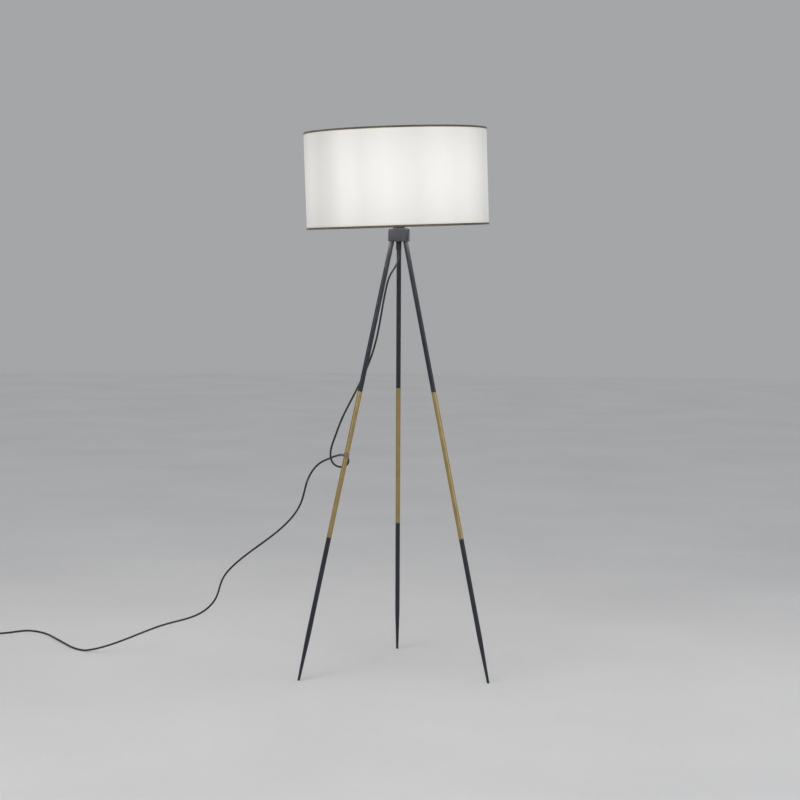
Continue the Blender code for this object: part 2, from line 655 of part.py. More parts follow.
# ------------------------------------------------------------------ shade
def make_shade(lamp):
    """The drum on its wire frame. Its own frame stands at the lower edge's centre, leaning."""
    seat = Vector((0.0, 0.0, SEAT_Z))
    lean = Matrix.Rotation(SHADE_LEAN, 4, "Y") @ Matrix.Rotation(SHADE_NOD, 4, "X")
    foot = seat + Vector((SHADE_SHIFT_X, 0, 0)) - (lean @ Vector((0, 0, SEAT_RISE)))
    turn = (SHADE_NOD, SHADE_LEAN, 0.0)
    drum = empty("shade", lamp, foot, turn)
    low = TRIM_T + GAP
    high = SHADE_H - TRIM_T - GAP
    turned("shade_fabric", pipe_profile(FABRIC_R, FABRIC_R - FABRIC_T, low, high), FINE, FABRIC,
           drum, closed=True)
    turned("shade_liner", pipe_profile(LINER_R, LINER_R - LINER_T, low, high), FINE, LINER,
           drum, closed=True)
    make_trims(drum)
    make_wires(lamp, drum, lean, foot)


def trim_profile():
    """A tape folded over the edge and its wire: tall outside, taller inside."""
    inside = WIRE_RING_R - WIRE_R - GAP
    return [(SHADE_R, TRIM_SHOWN), (SHADE_R, 0.0), (inside - TRIM_T, 0.0),
            (inside - TRIM_T, TRIM_INSIDE), (inside, TRIM_INSIDE), (inside, TRIM_T),
            (SHADE_R - TRIM_T, TRIM_T), (SHADE_R - TRIM_T, TRIM_SHOWN)]


def make_trims(drum):
    lower = turned("shade_trim_bottom", trim_profile(), FINE, TRIM, drum, closed=True)
    flipped = [(r, SHADE_H - z) for r, z in reversed(trim_profile())]
    turned("shade_trim_top", flipped, FINE, TRIM, drum, closed=True)
    inside = WIRE_RING_R - WIRE_R - GAP
    half = ARM_R + 0.0010
    for number, angle in enumerate(LEG_ANGLES):
        notch = box(f"notch_{number}", (inside - 0.004, -half, TRIM_T), (inside + 0.0002, half, 0.02),
                    drum, turn=(0, 0, angle))
        combine(lower, notch, "DIFFERENCE")


def wire_ring(name, height, material, drum):
    """A round wire bent into a ring."""
    section = [(WIRE_RING_R + WIRE_R * math.cos(t), height - WIRE_R * math.sin(t))
               for t in np.linspace(0.0, 2 * math.pi, 6, endpoint=False)]
    return turned(name, section, FINE, material, drum, closed=True)


def make_wires(lamp, drum, lean, foot):
    """The two rings of wire, and the fitter ring with an arm out to the lower one over each leg."""
    wire_ring("shade_ring_top", SHADE_H - WIRE_UP, WIRE, drum)
    wire_ring("shade_ring_bottom", WIRE_UP, WIRE, drum)
    turned("shade_fitter", pipe_profile(FITTER_R, SLEEVE_R + SLIP, 0.0, FITTER_T), ROUND,
           WIRE, lamp, (0, 0, SEAT_Z), closed=True)
    for side, angle in zip(LEG_NAMES, LEG_ANGLES):
        out = Vector((math.cos(angle), math.sin(angle), 0.0))
        hub = out * (FITTER_R + ARM_WELD) + Vector((0, 0, SEAT_Z + FITTER_T / 2))
        wire = foot + lean @ (out * WIRE_RING_R + Vector((0, 0, WIRE_UP)))
        rim = wire - (wire - hub).normalized() * (WIRE_R + ARM_WELD)
        rod_between(f"shade_arm_{side}", hub, rim, ARM_R, SMALL, WIRE, lamp)


# ------------------------------------------------------------------ cord, clip and plug
def fitted_route():
    """The chosen route, its heights stretched to start at the gland."""
    stretch = (CORD_EXIT_Z - GAP) / CORD_ROUTE[0][2]
    return [(x, y, max(z * stretch, CORD_R + GAP)) for x, y, z in CORD_ROUTE]


def make_cord(lamp):
    points = smooth_curve(fitted_route(), CORD_POINTS)
    points[:, 2] = np.maximum(points[:, 2], CORD_R + GAP)
    cable("cord_run", points, CORD_R, CORD_SKIN, lamp)
    return points


def cord_cutter(points, lamp):
    """A closed mesh round a stretch of the cord, a little thicker than it."""
    curve = cable("cord_way", points, CORD_R + SLIP, None, lamp)
    bpy.context.view_layer.update()
    shown = curve.evaluated_get(bpy.context.evaluated_depsgraph_get())
    mesh = bpy.data.meshes.new_from_object(shown)
    form = bmesh.new()
    form.from_mesh(mesh)
    bmesh.ops.remove_doubles(form, verts=form.verts, dist=0.00001)
    form.to_mesh(mesh)
    form.free()
    way = bpy.data.objects.new("cord_way_mesh", mesh)
    PARTS.objects.link(way)
    way.parent = lamp
    bpy.data.objects.remove(curve)
    return way


def make_clip(lamp, angle, points):
    """A clear ring round the left leg, with a block behind it that the cord passes through."""
    held = np.array(fitted_route()[CLIP_ROUTE_POINT - 1])
    near = np.flatnonzero(np.linalg.norm(points - held, axis=1) < CLIP_SEARCH)
    gaps = [(Vector(points[i]) - leg_point(angle, points[i][2])).length for i in near]
    at = int(near[int(np.argmin(gaps))])
    cord = Vector(points[at])
    centre = leg_point(angle, cord.z)
    inner = TUBE_R + SLIP
    half = CLIP_H / 2
    ring = turned("cord_clip", pipe_profile(inner + CLIP_WALL, inner, -half, half), 24,
                  CLEAR_PLASTIC, lamp, centre, (0.0, -SPLAY, angle), closed=True)
    away = Vector((cord.x - centre.x, cord.y - centre.y, 0.0))
    facing = (0.0, 0.0, math.atan2(away.y, away.x))
    block = box("clip_block", (inner + CLIP_WALL * 0.4, -CLIP_BLOCK / 2, -half),
                (away.length + CORD_R * 0.6, CLIP_BLOCK / 2, half), lamp, centre, facing)
    combine(ring, block, "UNION")
    way = cord_cutter(points[at - 2:at + 3], lamp)
    combine(ring, way, "DIFFERENCE")


def make_plug(lamp, points):
    """A flat two-pin plug lying on the floor at the end of the cord."""
    tail = Vector(points[-1])
    aim = Vector(points[-1] - points[-2])
    aim.z = 0.0
    aim.normalize()
    place = tail + aim * GAP
    place.z = PLUG_HALF_T + GAP
    plug = empty("plug", lamp, place, (0.0, 0.0, math.atan2(aim.y, aim.x)))
    mesh = bpy.data.meshes.new("plug_body")
    form = bmesh.new()
    sections = ((0.0, PLUG_NOSE * 0.45, PLUG_NOSE * 0.45), (0.012, PLUG_NOSE * 0.7, 0.0055),
                (0.018, PLUG_HALF_W, PLUG_HALF_T), (PLUG_LEN, PLUG_HALF_W, PLUG_HALF_T))
    rings = []
    for along, wide, thick in sections:
        ring = []
        for corner in range(16):
            t = 2 * math.pi * corner / 16
            c, s = math.cos(t), math.sin(t)
            y = wide * math.copysign(abs(c) ** 0.55, c)
            z = thick * math.copysign(abs(s) ** 0.55, s)
            ring.append(form.verts.new((along, y, z)))
        rings.append(ring)
    bmesh.ops.contextual_create(form, geom=rings[0])
    for near, far in zip(rings, rings[1:]):
        for i in range(16):
            j = (i + 1) % 16
            form.faces.new((near[i], near[j], far[j], far[i]))
    bmesh.ops.contextual_create(form, geom=rings[-1])
    bmesh.ops.recalc_face_normals(form, faces=form.faces)
    form.to_mesh(mesh)
    form.free()
    body = put(bpy.data.objects.new("plug_body", mesh), BLACK_PLASTIC, plug)
    for name, sign in (("live", -1), ("neutral", 1)):
        place = (PLUG_LEN, sign * PIN_PITCH / 2, 0.0)
        ahead = (0.0, math.pi / 2, 0.0)
        socket = disc_profile(PIN_R + SLIP, -PIN_ROOT - GAP, 0.002)
        combine(body, turned(f"pin_hole_{name}", socket, SMALL, None, plug, place, ahead),
                "DIFFERENCE")
        pin = [(0.0, PIN_LEN), (PIN_R * 0.6, PIN_LEN), (PIN_R, PIN_LEN - 0.0012),
               (PIN_R, -PIN_ROOT), (0.0, -PIN_ROOT)]
        turned(f"plug_pin_{name}", pin, SMALL, BRASS, plug, place, ahead)


# ------------------------------------------------------------------ the whole lamp
def world_box(obj, graph):
    """Lowest and highest corner of a mesh piece, in the world."""
    shown = obj.evaluated_get(graph)
    count = len(shown.data.vertices)
    flat = np.empty(3 * count)
    shown.data.vertices.foreach_get("co", flat)
    turn = np.array(shown.matrix_world)
    points = flat.reshape(-1, 3) @ turn[:3, :3].T + turn[:3, 3]
    return points.min(axis=0), points.max(axis=0)


def stand_on_origin(lamp, left_out):
    """Moves the lamp so that the middle of its own box, without the cord, is at x = y = 0."""
    bpy.context.view_layer.update()
    graph = bpy.context.evaluated_depsgraph_get()
    pieces = [obj for obj in PARTS.objects if obj.type == "MESH" and obj.name not in left_out]
    boxes = [world_box(obj, graph) for obj in pieces]
    low = np.min([box_low for box_low, _ in boxes], axis=0)
    high = np.max([box_high for _, box_high in boxes], axis=0)
    lamp.location = (-(low[0] + high[0]) / 2, -(low[1] + high[1]) / 2, 0.0)


def build():
    lamp = empty("lamp")
    frames = {}
    for name, angle in zip(LEG_NAMES, LEG_ANGLES):
        frames[name] = make_leg(lamp, name, angle)
    make_hub(lamp, frames)
    make_cover(lamp)
    make_nipple(lamp)
    make_gland(lamp)
    make_holder(lamp)
    make_wiring(lamp)
    make_bulb(lamp)
    make_shade(lamp)
    points = make_cord(lamp)
    make_clip(lamp, LEG_ANGLES[0], points)
    make_plug(lamp, points)
    stand_on_origin(lamp, ("plug_body", "plug_pin_live", "plug_pin_neutral"))


build()
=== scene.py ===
# %% [markdown]
# # A tripod floor lamp, dressed around its engineering model
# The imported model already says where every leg, screw and wire is, and how they move. This file
# loads it and gives it its looks: finer surfaces where a facet would show, cloth on the shade,
# a cord that hangs, and a finish for every piece. Everything is in metres, with +Z up.

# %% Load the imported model
import math

import bpy
import numpy as np
from mathutils import Matrix, Vector


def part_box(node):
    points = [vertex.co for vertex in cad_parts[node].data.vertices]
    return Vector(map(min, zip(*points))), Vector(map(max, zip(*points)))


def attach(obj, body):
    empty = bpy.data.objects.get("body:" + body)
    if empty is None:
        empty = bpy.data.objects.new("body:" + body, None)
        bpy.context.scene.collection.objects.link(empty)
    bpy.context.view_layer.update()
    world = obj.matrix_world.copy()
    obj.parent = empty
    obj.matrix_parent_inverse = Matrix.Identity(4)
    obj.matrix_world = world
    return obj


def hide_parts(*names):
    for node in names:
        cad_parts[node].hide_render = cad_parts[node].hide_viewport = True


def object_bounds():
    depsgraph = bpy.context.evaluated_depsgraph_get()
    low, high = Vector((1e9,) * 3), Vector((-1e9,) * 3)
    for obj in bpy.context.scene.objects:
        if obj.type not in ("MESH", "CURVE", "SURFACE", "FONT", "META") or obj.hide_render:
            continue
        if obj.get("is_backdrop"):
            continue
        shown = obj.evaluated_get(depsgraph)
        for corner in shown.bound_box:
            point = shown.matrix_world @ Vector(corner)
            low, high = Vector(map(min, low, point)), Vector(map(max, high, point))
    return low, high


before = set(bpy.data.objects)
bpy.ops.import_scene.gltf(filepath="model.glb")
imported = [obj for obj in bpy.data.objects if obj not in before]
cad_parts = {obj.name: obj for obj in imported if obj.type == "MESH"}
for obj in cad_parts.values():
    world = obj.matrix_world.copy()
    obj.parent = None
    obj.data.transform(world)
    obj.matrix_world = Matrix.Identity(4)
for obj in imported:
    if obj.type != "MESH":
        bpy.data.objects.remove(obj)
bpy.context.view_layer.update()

# %% [markdown]
# ## Where the lamp's own axes are
# Nothing is placed by eye. The upright axis is the middle of the round hub's box. A leg's slanting
# axis, or the leaning axis of the drum, is found from the corners of the piece itself: their mean
# lies on the axis, and the direction in which they spread most (a bar) or least (a drum) is it.

# %% Find the axes
hub_low, hub_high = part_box("hub_body")
AXIS = Vector(((hub_low.x + hub_high.x) / 2, (hub_low.y + hub_high.y) / 2, 0.0))
UPRIGHT = Matrix.Translation(AXIS)
LEGS = ("left", "right", "back")
GAP = 0.0003                  # the air between pieces that only just clear each other


def corners(node):
    """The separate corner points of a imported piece, one row each."""
    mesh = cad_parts[node].data
    points = np.empty(len(mesh.vertices) * 3)
    mesh.vertices.foreach_get("co", points)
    return np.unique(points.reshape(-1, 3).round(6), axis=0)


def own_frame(node, longest=True):
    """A round piece's place: its middle, with Z along its axis and X level.

    The axis is an eigenvector of the corners' covariance: the largest for a bar, the smallest
    for a drum or a ring. The matrix columns are X = up x axis, Y = axis x X, and the axis.
    """
    points = corners(node)
    middle = points.mean(axis=0)
    axis = np.linalg.eigh(np.cov((points - middle).T))[1][:, -1 if longest else 0]
    axis = Vector(axis * math.copysign(1.0, axis[2]))
    across = Vector((0.0, 0.0, 1.0)).cross(axis).normalized()
    place = Matrix((across, axis.cross(across), axis)).transposed().to_4x4()
    place.translation = middle
    return place


def placed(points, place):
    """Points moved from a place's own terms to the lamp's: the matrix times each point."""
    matrix = np.array(place)
    return points @ matrix[:3, :3].T + matrix[:3, 3]


def levels(node, place):
    """The heights and radii of a piece's corners, in a place's own terms."""
    points = placed(corners(node), place.inverted())
    return points[:, 2], np.hypot(points[:, 0], points[:, 1])


def reach(node, place):
    """How far a piece goes in a place's own terms: (lowest, highest along Z, largest radius)."""
    height, radius = levels(node, place)
    return height.min(), height.max(), radius.max()


def radius_near(node, place, level):
    """The largest radius of a piece's corners within a millimetre of a level on its axis."""
    height, radius = levels(node, place)
    return radius[abs(height - level) < 0.001].max()


print("upright axis at", AXIS.to_tuple(4), "hub", hub_low.to_tuple(4), "to", hub_high.to_tuple(4))

# %% [markdown]
# ## The camera
# A long lens from five metres away, a little below the shade's height and tipped a little down,
# keeps the legs almost parallel. It rolls by half a degree, as a camera that isn't quite level.

# %% Set up the camera
CAMERA_FROM_AXIS = Vector((0.0075, -5.218, 1.133))
LOOK_DOWN = math.radians(4.16)
ROLL = math.radians(0.56)
camera_data = bpy.data.cameras.new("camera")
camera_data.sensor_width = 36.0
camera_data.lens = 85.5
camera_data.clip_end = 200.0
camera = bpy.data.objects.new("camera", camera_data)
bpy.context.scene.collection.objects.link(camera)
camera.matrix_world = (Matrix.Translation(AXIS + CAMERA_FROM_AXIS)
                       @ Matrix.Rotation(math.pi / 2 - LOOK_DOWN, 4, "X")
                       @ Matrix.Rotation(ROLL, 4, "Z"))
bpy.context.scene.camera = camera
print("camera", camera.location.to_tuple(3), "lens", camera_data.lens, "mm")

# %% [markdown]
# ## The cord's way
# The mains lead leaves the grip under the hub, hangs down beside the left leg, takes one turn round
# it through a clear clip, sags to the floor and lies there to its plug. A cord is one length of
# something bendy, so its points are joined with a natural cubic spline, the curve that a thin
# springy strip takes through them: it has no kinks, and it is free of bending at both ends.

# %% Lay the cord
CORD_WIDTH = 0.0054
CORD_ROUTE = (
    (0.000, 0.000, 1.1636), (0.000, 0.000, 1.146), (-0.004, -0.002, 1.130),
    (-0.013, -0.005, 1.113), (-0.023, -0.009, 1.096), (-0.031, -0.013, 1.071),
    (-0.038, -0.016, 1.037), (-0.065, -0.026, 0.897), (-0.080, -0.029, 0.853),
    (-0.120, -0.034, 0.766), (-0.1522, -0.0436, 0.7000), (-0.1707, -0.0355, 0.6499),
    (-0.1815, -0.0345, 0.6083), (-0.1736, -0.0295, 0.5790), (-0.1530, -0.0315, 0.5698),
    (-0.1368, -0.0387, 0.5765), (-0.1323, -0.0511, 0.5938), (-0.142, -0.061, 0.605),
    (-0.1592, -0.0705, 0.6060), (-0.1809, -0.0772, 0.5989), (-0.2040, -0.0662, 0.5871),
    (-0.228, -0.043, 0.563), (-0.249, -0.009, 0.518), (-0.262, 0.014, 0.470),
    (-0.302, 0.050, 0.406), (-0.380, 0.087, 0.337), (-0.457, 0.117, 0.273),
    (-0.493, 0.133, 0.226), (-0.511, 0.143, 0.174), (-0.560, 0.157, 0.124),
    (-0.650, 0.172, 0.092), (-0.835, 0.196, 0.019), (-0.900, 0.212, 0.003),
    (-0.957, 0.280, 0.003), (-1.020, 0.395, 0.003), (-1.071, 0.470, 0.003),
    (-1.118, 0.496, 0.003), (-1.165, 0.466, 0.003), (-1.225, 0.440, 0.003),
    (-1.290, 0.438, 0.0073),
)


FINE_POINTS = 6000


def spline(route, count):
    """Points evenly along a natural cubic spline through the route.

    With the chord length as parameter, the second derivatives solve the tridiagonal system
    that makes the slopes match at each point, with zero at the ends. Between two points the
    curve is the straight mix plus each end's second derivative times (share^3 - share) / 6
    times the span squared.
    """
    route = np.array(route, float)
    knots = np.concatenate(([0.0], np.cumsum(np.linalg.norm(np.diff(route, axis=0), axis=1))))
    span = np.diff(knots)
    size = len(route)
    system = np.eye(size)
    inner = np.arange(1, size - 1)
    system[inner, inner - 1] = span[:-1]
    system[inner, inner] = 2 * (span[:-1] + span[1:])
    system[inner, inner + 1] = span[1:]
    slope = np.diff(route, axis=0) / span[:, None]
    bend = np.zeros_like(route)
    bend[1:-1] = 6 * np.diff(slope, axis=0)
    bend = np.linalg.solve(system, bend)
    at = np.linspace(0.0, knots[-1], FINE_POINTS)
    k = np.clip(np.searchsorted(knots, at, side="right") - 1, 0, size - 2)
    share = ((at - knots[k]) / span[k])[:, None]
    left = 1 - share
    square = (span[k] ** 2)[:, None] / 6
    fine = left * route[k] + share * route[k + 1]
    fine += square * ((left ** 3 - left) * bend[k] + (share ** 3 - share) * bend[k + 1])
    far = np.concatenate(([0.0], np.cumsum(np.linalg.norm(np.diff(fine, axis=0), axis=1))))
    even = np.linspace(0.0, far[-1], count)
    return np.stack([np.interp(even, far, fine[:, axis]) for axis in range(3)], axis=1)


CORD_POINTS = 640
cord_line = spline(CORD_ROUTE, CORD_POINTS)
cord_line[:, 2] = np.maximum(cord_line[:, 2], CORD_WIDTH / 2 + GAP)     # it lies on the floor
cord_line += np.array(AXIS)
cord_length = np.linalg.norm(np.diff(cord_line, axis=0), axis=1).sum()
print("the cord's free length is", round(cord_length, 3), "m")

# %% Make the cord a piece
cord_curve = bpy.data.curves.new("mains_lead", "CURVE")
cord_curve.dimensions = "3D"
cord_curve.bevel_depth = CORD_WIDTH / 2
cord_curve.bevel_resolution = 4
cord_curve.use_fill_caps = True
cord_spline = cord_curve.splines.new("POLY")
cord_spline.points.add(len(cord_line) - 1)
cord_spline.points.foreach_set("co", np.column_stack((cord_line, np.ones(len(cord_line)))).ravel())
cord_spline.use_smooth = True
mains_lead = bpy.data.objects.new("mains_lead", cord_curve)
bpy.context.scene.collection.objects.link(mains_lead)
print("the cord is", CORD_WIDTH * 1000, "mm thick, lowest at", round(cord_line[:, 2].min(), 4))

# %% [markdown]
# ## Surfaces from grids
# Every new piece is one function of two parameters, worked out for a whole grid of points at
# once. The grid is then laced with four-sided faces. Where a row shrinks to one point, as at the
# tip of a dome, its faces are triangles. A UV map in metres goes round and along the piece, so
# that a finish can follow threads, turning marks or the way a tube was drawn.

# %% Lace a grid into a mesh
def outward(points, faces):
    """Turns a closed mesh's faces to point out: the volume is the sum of a . (b x c) / 6."""
    a, b, c = (points[faces[:, k]] for k in range(3))
    volume = (a * np.cross(b, c)).sum()
    return faces if volume >= 0 else faces[:, ::-1]


def skin(name, grid, round_rows=False, round_columns=True, size=(1.0, 1.0), flip=None):
    """A mesh laced over grid[i, j]. Rounded rows or columns join the last to the first.

    size is the UV map's extent in metres, along the columns' count and the rows'. flip is for
    an open sheet: whether to turn its faces over. A closed one turns itself outward.
    """
    rows, columns = grid.shape[:2]
    number = np.arange(rows * columns).reshape(rows, columns)
    point_rows = np.ptp(grid, axis=1).max(axis=1) < 1e-9
    number[point_rows] = number[point_rows][:, :1]
    i, j = np.meshgrid(np.arange(rows - (not round_rows)),
                       np.arange(columns - (not round_columns)), indexing="ij")
    up, on = (i + 1) % rows, (j + 1) % columns
    quads = np.stack((number[i, j], number[i, on], number[up, on], number[up, j]), -1)
    u = np.stack((j, j + 1, j + 1, j), -1) * size[0] / max(columns - (not round_columns), 1)
    v = np.stack((i, i, i + 1, i + 1), -1) * size[1] / max(rows - (not round_rows), 1)
    quads, uv = quads.reshape(-1, 4), np.stack((u, v), -1).reshape(-1, 4, 2)
    low_point, high_point = quads[:, 0] == quads[:, 1], quads[:, 2] == quads[:, 3]
    whole = ~(low_point | high_point)
    parts = [(quads[whole], uv[whole])]
    parts += [(quads[low_point][:, [0, 2, 3]], uv[low_point][:, [0, 2, 3]])]
    parts += [(quads[high_point][:, [0, 1, 2]], uv[high_point][:, [0, 1, 2]])]
    points = grid.reshape(-1, 3)
    turned_over = flip
    if flip is None:
        some = np.concatenate([parts[0][0][:, [0, 1, 2]], parts[0][0][:, [0, 2, 3]],
                               parts[1][0], parts[2][0]])
        turned_over = outward(points, some) is not some
    used, index = np.unique(np.concatenate([f.ravel() for f, _ in parts]), return_inverse=True)
    faces, maps, start = [], [], 0
    for f, m in parts:
        f = index[start:start + f.size].reshape(f.shape)
        start += f.size
        faces += (f[:, ::-1] if turned_over else f).tolist()
        maps.append((m[:, ::-1] if turned_over else m).reshape(-1, 2))
    mesh = bpy.data.meshes.new(name)
    mesh.from_pydata(points[used], [], faces)
    layer = mesh.uv_layers.new(name="surface")
    layer.data.foreach_set("uv", np.concatenate(maps).ravel())
    mesh.shade_smooth()
    piece = bpy.data.objects.new(name, mesh)
    bpy.context.scene.collection.objects.link(piece)
    return piece


print("a grid of 3 by 4 points laces into 2 by 4 faces when its columns close")

# %% [markdown]
# ## Turned pieces
# Nearly everything here is round: tubes, puck, rings, lampholder, bulb. A lathe carries a
# profile round an axis, so that is how they are made: x = r cos t, y = r sin t, z = h for each
# point (r, h) of the profile. Real edges are never knife sharp, so each corner of a profile is
# eased first, and the eased edge is what catches the light.

# %% Ease a profile and turn it
def eased(profile, closed=False):
    """A profile with soft corners. Each corner is (radius, height, ease).

    A corner P becomes the curve (1-t)^2 A + 2 t (1-t) P + t^2 C, with A and C on the two sides
    at the distance ease. One more point stands a little before A and after C, so that the flat
    faces beside a soft edge stay flat in the shading.
    """
    points = np.array([p[:2] for p in profile], float)
    eases = [p[2] if len(p) > 2 else 0.0 for p in profile]
    count = len(points)
    t = np.linspace(0.0, 1.0, 5)[:, None]
    out = []
    for i, ease in enumerate(eases):
        end = not closed and i in (0, count - 1)
        if not ease or end:
            out.append(points[i:i + 1])
            continue
        back, ahead = points[i - 1] - points[i], points[(i + 1) % count] - points[i]
        back_far, ahead_far = np.linalg.norm(back), np.linalg.norm(ahead)
        a = points[i] + back / back_far * min(ease, back_far * 0.45)
        c = points[i] + ahead / ahead_far * min(ease, ahead_far * 0.45)
        before = a + (a - points[i]) * min(0.5, (back_far * 0.49 / min(ease, back_far * 0.45) - 1))
        after = c + (c - points[i]) * min(0.5, (ahead_far * 0.49 / min(ease, ahead_far * 0.45) - 1))
        curve = (1 - t) ** 2 * a + 2 * t * (1 - t) * points[i] + t ** 2 * c
        out += [before[None], curve, after[None]]
    return np.concatenate(out)


def split_long(profile, step):
    """The same profile with points added so that no stretch is longer than step."""
    lengths = np.linalg.norm(np.diff(profile, axis=0), axis=1)
    out = [profile[:1]]
    for low, high, length in zip(profile, profile[1:], lengths):
        parts = max(int(math.ceil(length / step)), 1)
        out.append(low + (high - low) * (np.arange(1, parts + 1) / parts)[:, None])
    return np.concatenate(out)


def turned(name, profile, place=None, steps=96, closed=False, relief=None):
    """A profile carried round an axis: (r cos t, r sin t, h), r plus relief(t, h, r).

    A closed profile makes a ring; an open one starts and ends on the axis.
    """
    profile = np.asarray(profile, float)
    radius, height = profile[:, :1], profile[:, 1:2]
    angle = np.linspace(0.0, 2 * math.pi, steps, endpoint=False)[None, :]
    wide = np.broadcast_to(radius, (len(profile), steps)).copy()
    if relief is not None:
        wide = np.where(radius > 1e-9, wide + relief(angle, height, radius), wide)
    grid = np.stack((wide * np.cos(angle), wide * np.sin(angle),
                     np.broadcast_to(height, wide.shape)), -1)
    along = np.linalg.norm(np.diff(profile, axis=0), axis=1).sum()
    return skin(name, placed(grid, place or UPRIGHT), round_rows=closed,
                size=(2 * math.pi * profile[:, 0].max(), along))


def pipe(outer, inner, low, high, ease):
    """The profile of a pipe or ring, as a closed loop of four corners."""
    return [(outer, low, ease), (outer, high, ease), (inner, high, ease), (inner, low, ease)]


print("a pipe's profile has", len(eased(pipe(0.010, 0.008, 0.0, 0.05, 0.0005), True)), "points")

# %% [markdown]
# ## Bars along a path
# Bent wires and sleeves follow a path. At each point of the path two directions square to it
# carry a circle: p + r (cos t side + sin t up). The radius may change along the way, which gives
# a taper, a rib or the swelling of a weld.

# %% Carry a circle along a path
BAR_SIDES = 16


def along_path(name, path, radius, steps=BAR_SIDES):
    """A round bar on a path: p + r cos t side + r sin t up, side = aim x Z, up = side x aim.

    radius has one number for each point. The bar ends in a ring shrunk to a point at each end,
    which closes it flat.
    """
    path = np.asarray(path, float)
    aim = np.gradient(path, axis=0)
    aim /= np.linalg.norm(aim, axis=1, keepdims=True)
    steady = np.array((0.0, 0.0, 1.0)) if abs(aim[:, 2]).max() < 0.95 else np.array((1.0, 0.3, 0.0))
    side = np.cross(aim, steady)
    side /= np.linalg.norm(side, axis=1, keepdims=True)
    up = np.cross(side, aim)
    path, side, up = (np.concatenate((d[:1], d, d[-1:])) for d in (path, side, up))
    wide = np.concatenate(([0.0], radius, [0.0]))
    angle = np.linspace(0.0, 2 * math.pi, steps, endpoint=False)[None, :, None]
    ring = side[:, None] * np.cos(angle) + up[:, None] * np.sin(angle)
    grid = path[:, None] + wide[:, None, None] * ring
    length = np.linalg.norm(np.diff(path, axis=0), axis=1).sum()
    return skin(name, grid, size=(2 * math.pi * wide.max(), length))


print("bars follow their paths with", BAR_SIDES, "sides")

# %% [markdown]
# ## Sums on shader sockets
# A finish is easier to read as a formula than as a web of boxes. This small class wraps a
# socket: adding, multiplying or comparing wrapped sockets adds the Math nodes behind the scenes,
# and one method adds any other node, with its settings first and its sockets after.

# %% Wrap sockets
class Wire:
    """A shader socket that does sums."""

    def __init__(self, tree, socket=None):
        self.tree = tree
        self.socket = socket

    def node(self, kind, settings=None, inputs=None, output=0):
        """Adds a node: settings first, then values or wires for its sockets; wraps an output."""
        made = self.tree.nodes.new(kind)
        for key, value in (settings or {}).items():
            if key == "stops":
                ramp = made.color_ramp
                for _ in range(len(value) - len(ramp.elements)):
                    ramp.elements.new(0.5)
                for element, (position, colour) in zip(ramp.elements, value):
                    element.position = position
                    element.color = (*colour, 1.0) if len(colour) == 3 else colour
            else:
                setattr(made, key, value)
        for key, value in (inputs or {}).items():
            self.plug(made.inputs[key], value)
        return Wire(self.tree, made.outputs[output])

    def plug(self, socket, value):
        if isinstance(value, Wire):
            self.tree.links.new(value.socket, socket)
        else:
            socket.default_value = value

    def sum(self, operation, a, b=0.0, c=0.0):
        return self.node("ShaderNodeMath", {"operation": operation}, {0: a, 1: b, 2: c})

    def __add__(self, other):
        return self.sum("ADD", self, other)

    __radd__ = __add__

    def __sub__(self, other):
        return self.sum("SUBTRACT", self, other)

    def __rsub__(self, other):
        return self.sum("SUBTRACT", other, self)

    def __mul__(self, other):
        return self.sum("MULTIPLY", self, other)

    __rmul__ = __mul__

    def above(self, edge, soft):
        """0 below edge, 1 above edge + soft, a straight rise between."""
        return self.node("ShaderNodeMapRange", {"clamp": True},
                         {0: self, 1: edge, 2: edge + soft, 3: 0.0, 4: 1.0})

    def mix(self, a, b):
        """Colour a where this is 0, colour b where it is 1."""
        a, b = ((*x, 1.0) if isinstance(x, tuple) else x for x in (a, b))
        return self.node("ShaderNodeMix", {"data_type": "RGBA"}, {0: self, 6: a, 7: b}, 2)

    def place(self, source="Object", scale=(1.0, 1.0, 1.0), turn=(0.0, 0.0, 0.0)):
        """Object coordinates, or the UV map, scaled and turned by a Mapping node."""
        output = {"Object": 3, "UV": 2}[source]
        coordinates = self.node("ShaderNodeTexCoord", output=output)
        return self.node("ShaderNodeMapping", None,
                         {"Vector": coordinates, "Rotation": turn, "Scale": scale})

    def noise(self, where, scale, detail):
        """Soft noise of a scale and a number of finer layers, at coordinates from place()."""
        return self.node("ShaderNodeTexNoise", None,
                         {"Vector": where, "Scale": scale, "Detail": detail})

    def bump(self, height, depth, strength=1.0):
        return self.node("ShaderNodeBump", None,
                         {"Strength": strength, "Distance": depth, "Height": height})


def finish(name, **constants):
    """A new material: its Principled sockets set to constants, and a Wire to build with."""
    material = bpy.data.materials.new(name)
    material.use_nodes = True
    tree = material.node_tree
    shader = next(n for n in tree.nodes if n.type == "BSDF_PRINCIPLED")
    for key, value in constants.items():
        socket = shader.inputs[key.replace("_", " ")]
        socket.default_value = (*value, 1.0) if isinstance(value, tuple) else value
    return material, Wire(tree), shader


def connect(wire, shader, **links):
    """Plugs wires into the Principled sockets named by the keywords."""
    for key, value in links.items():
        wire.plug(shader.inputs[key.replace("_", " ")], value)


def mottled(name, first, second, tone, grain, rough, depth, band=(0.3, 0.4), **constants):
    """A plain finish: a coarse noise mixes two colours, a grain does the roughness and the bump.

    tone and grain are the (scale, detail) of the two noises. The colour changes where the coarse
    one crosses band, (edge, soft). Roughness = rough[0] + rough[1] x grain; bump = depth x grain.
    """
    material, w, shader = finish(name, **constants)
    clouds = w.noise(w.place(), *tone).above(*band)
    grains = w.noise(w.place(), *grain)
    connect(w, shader, Base_Color=clouds.mix(first, second),
            Roughness=grains * rough[1] + rough[0], Normal=w.bump(grains, depth))
    return material


print("finishes are built from wires")

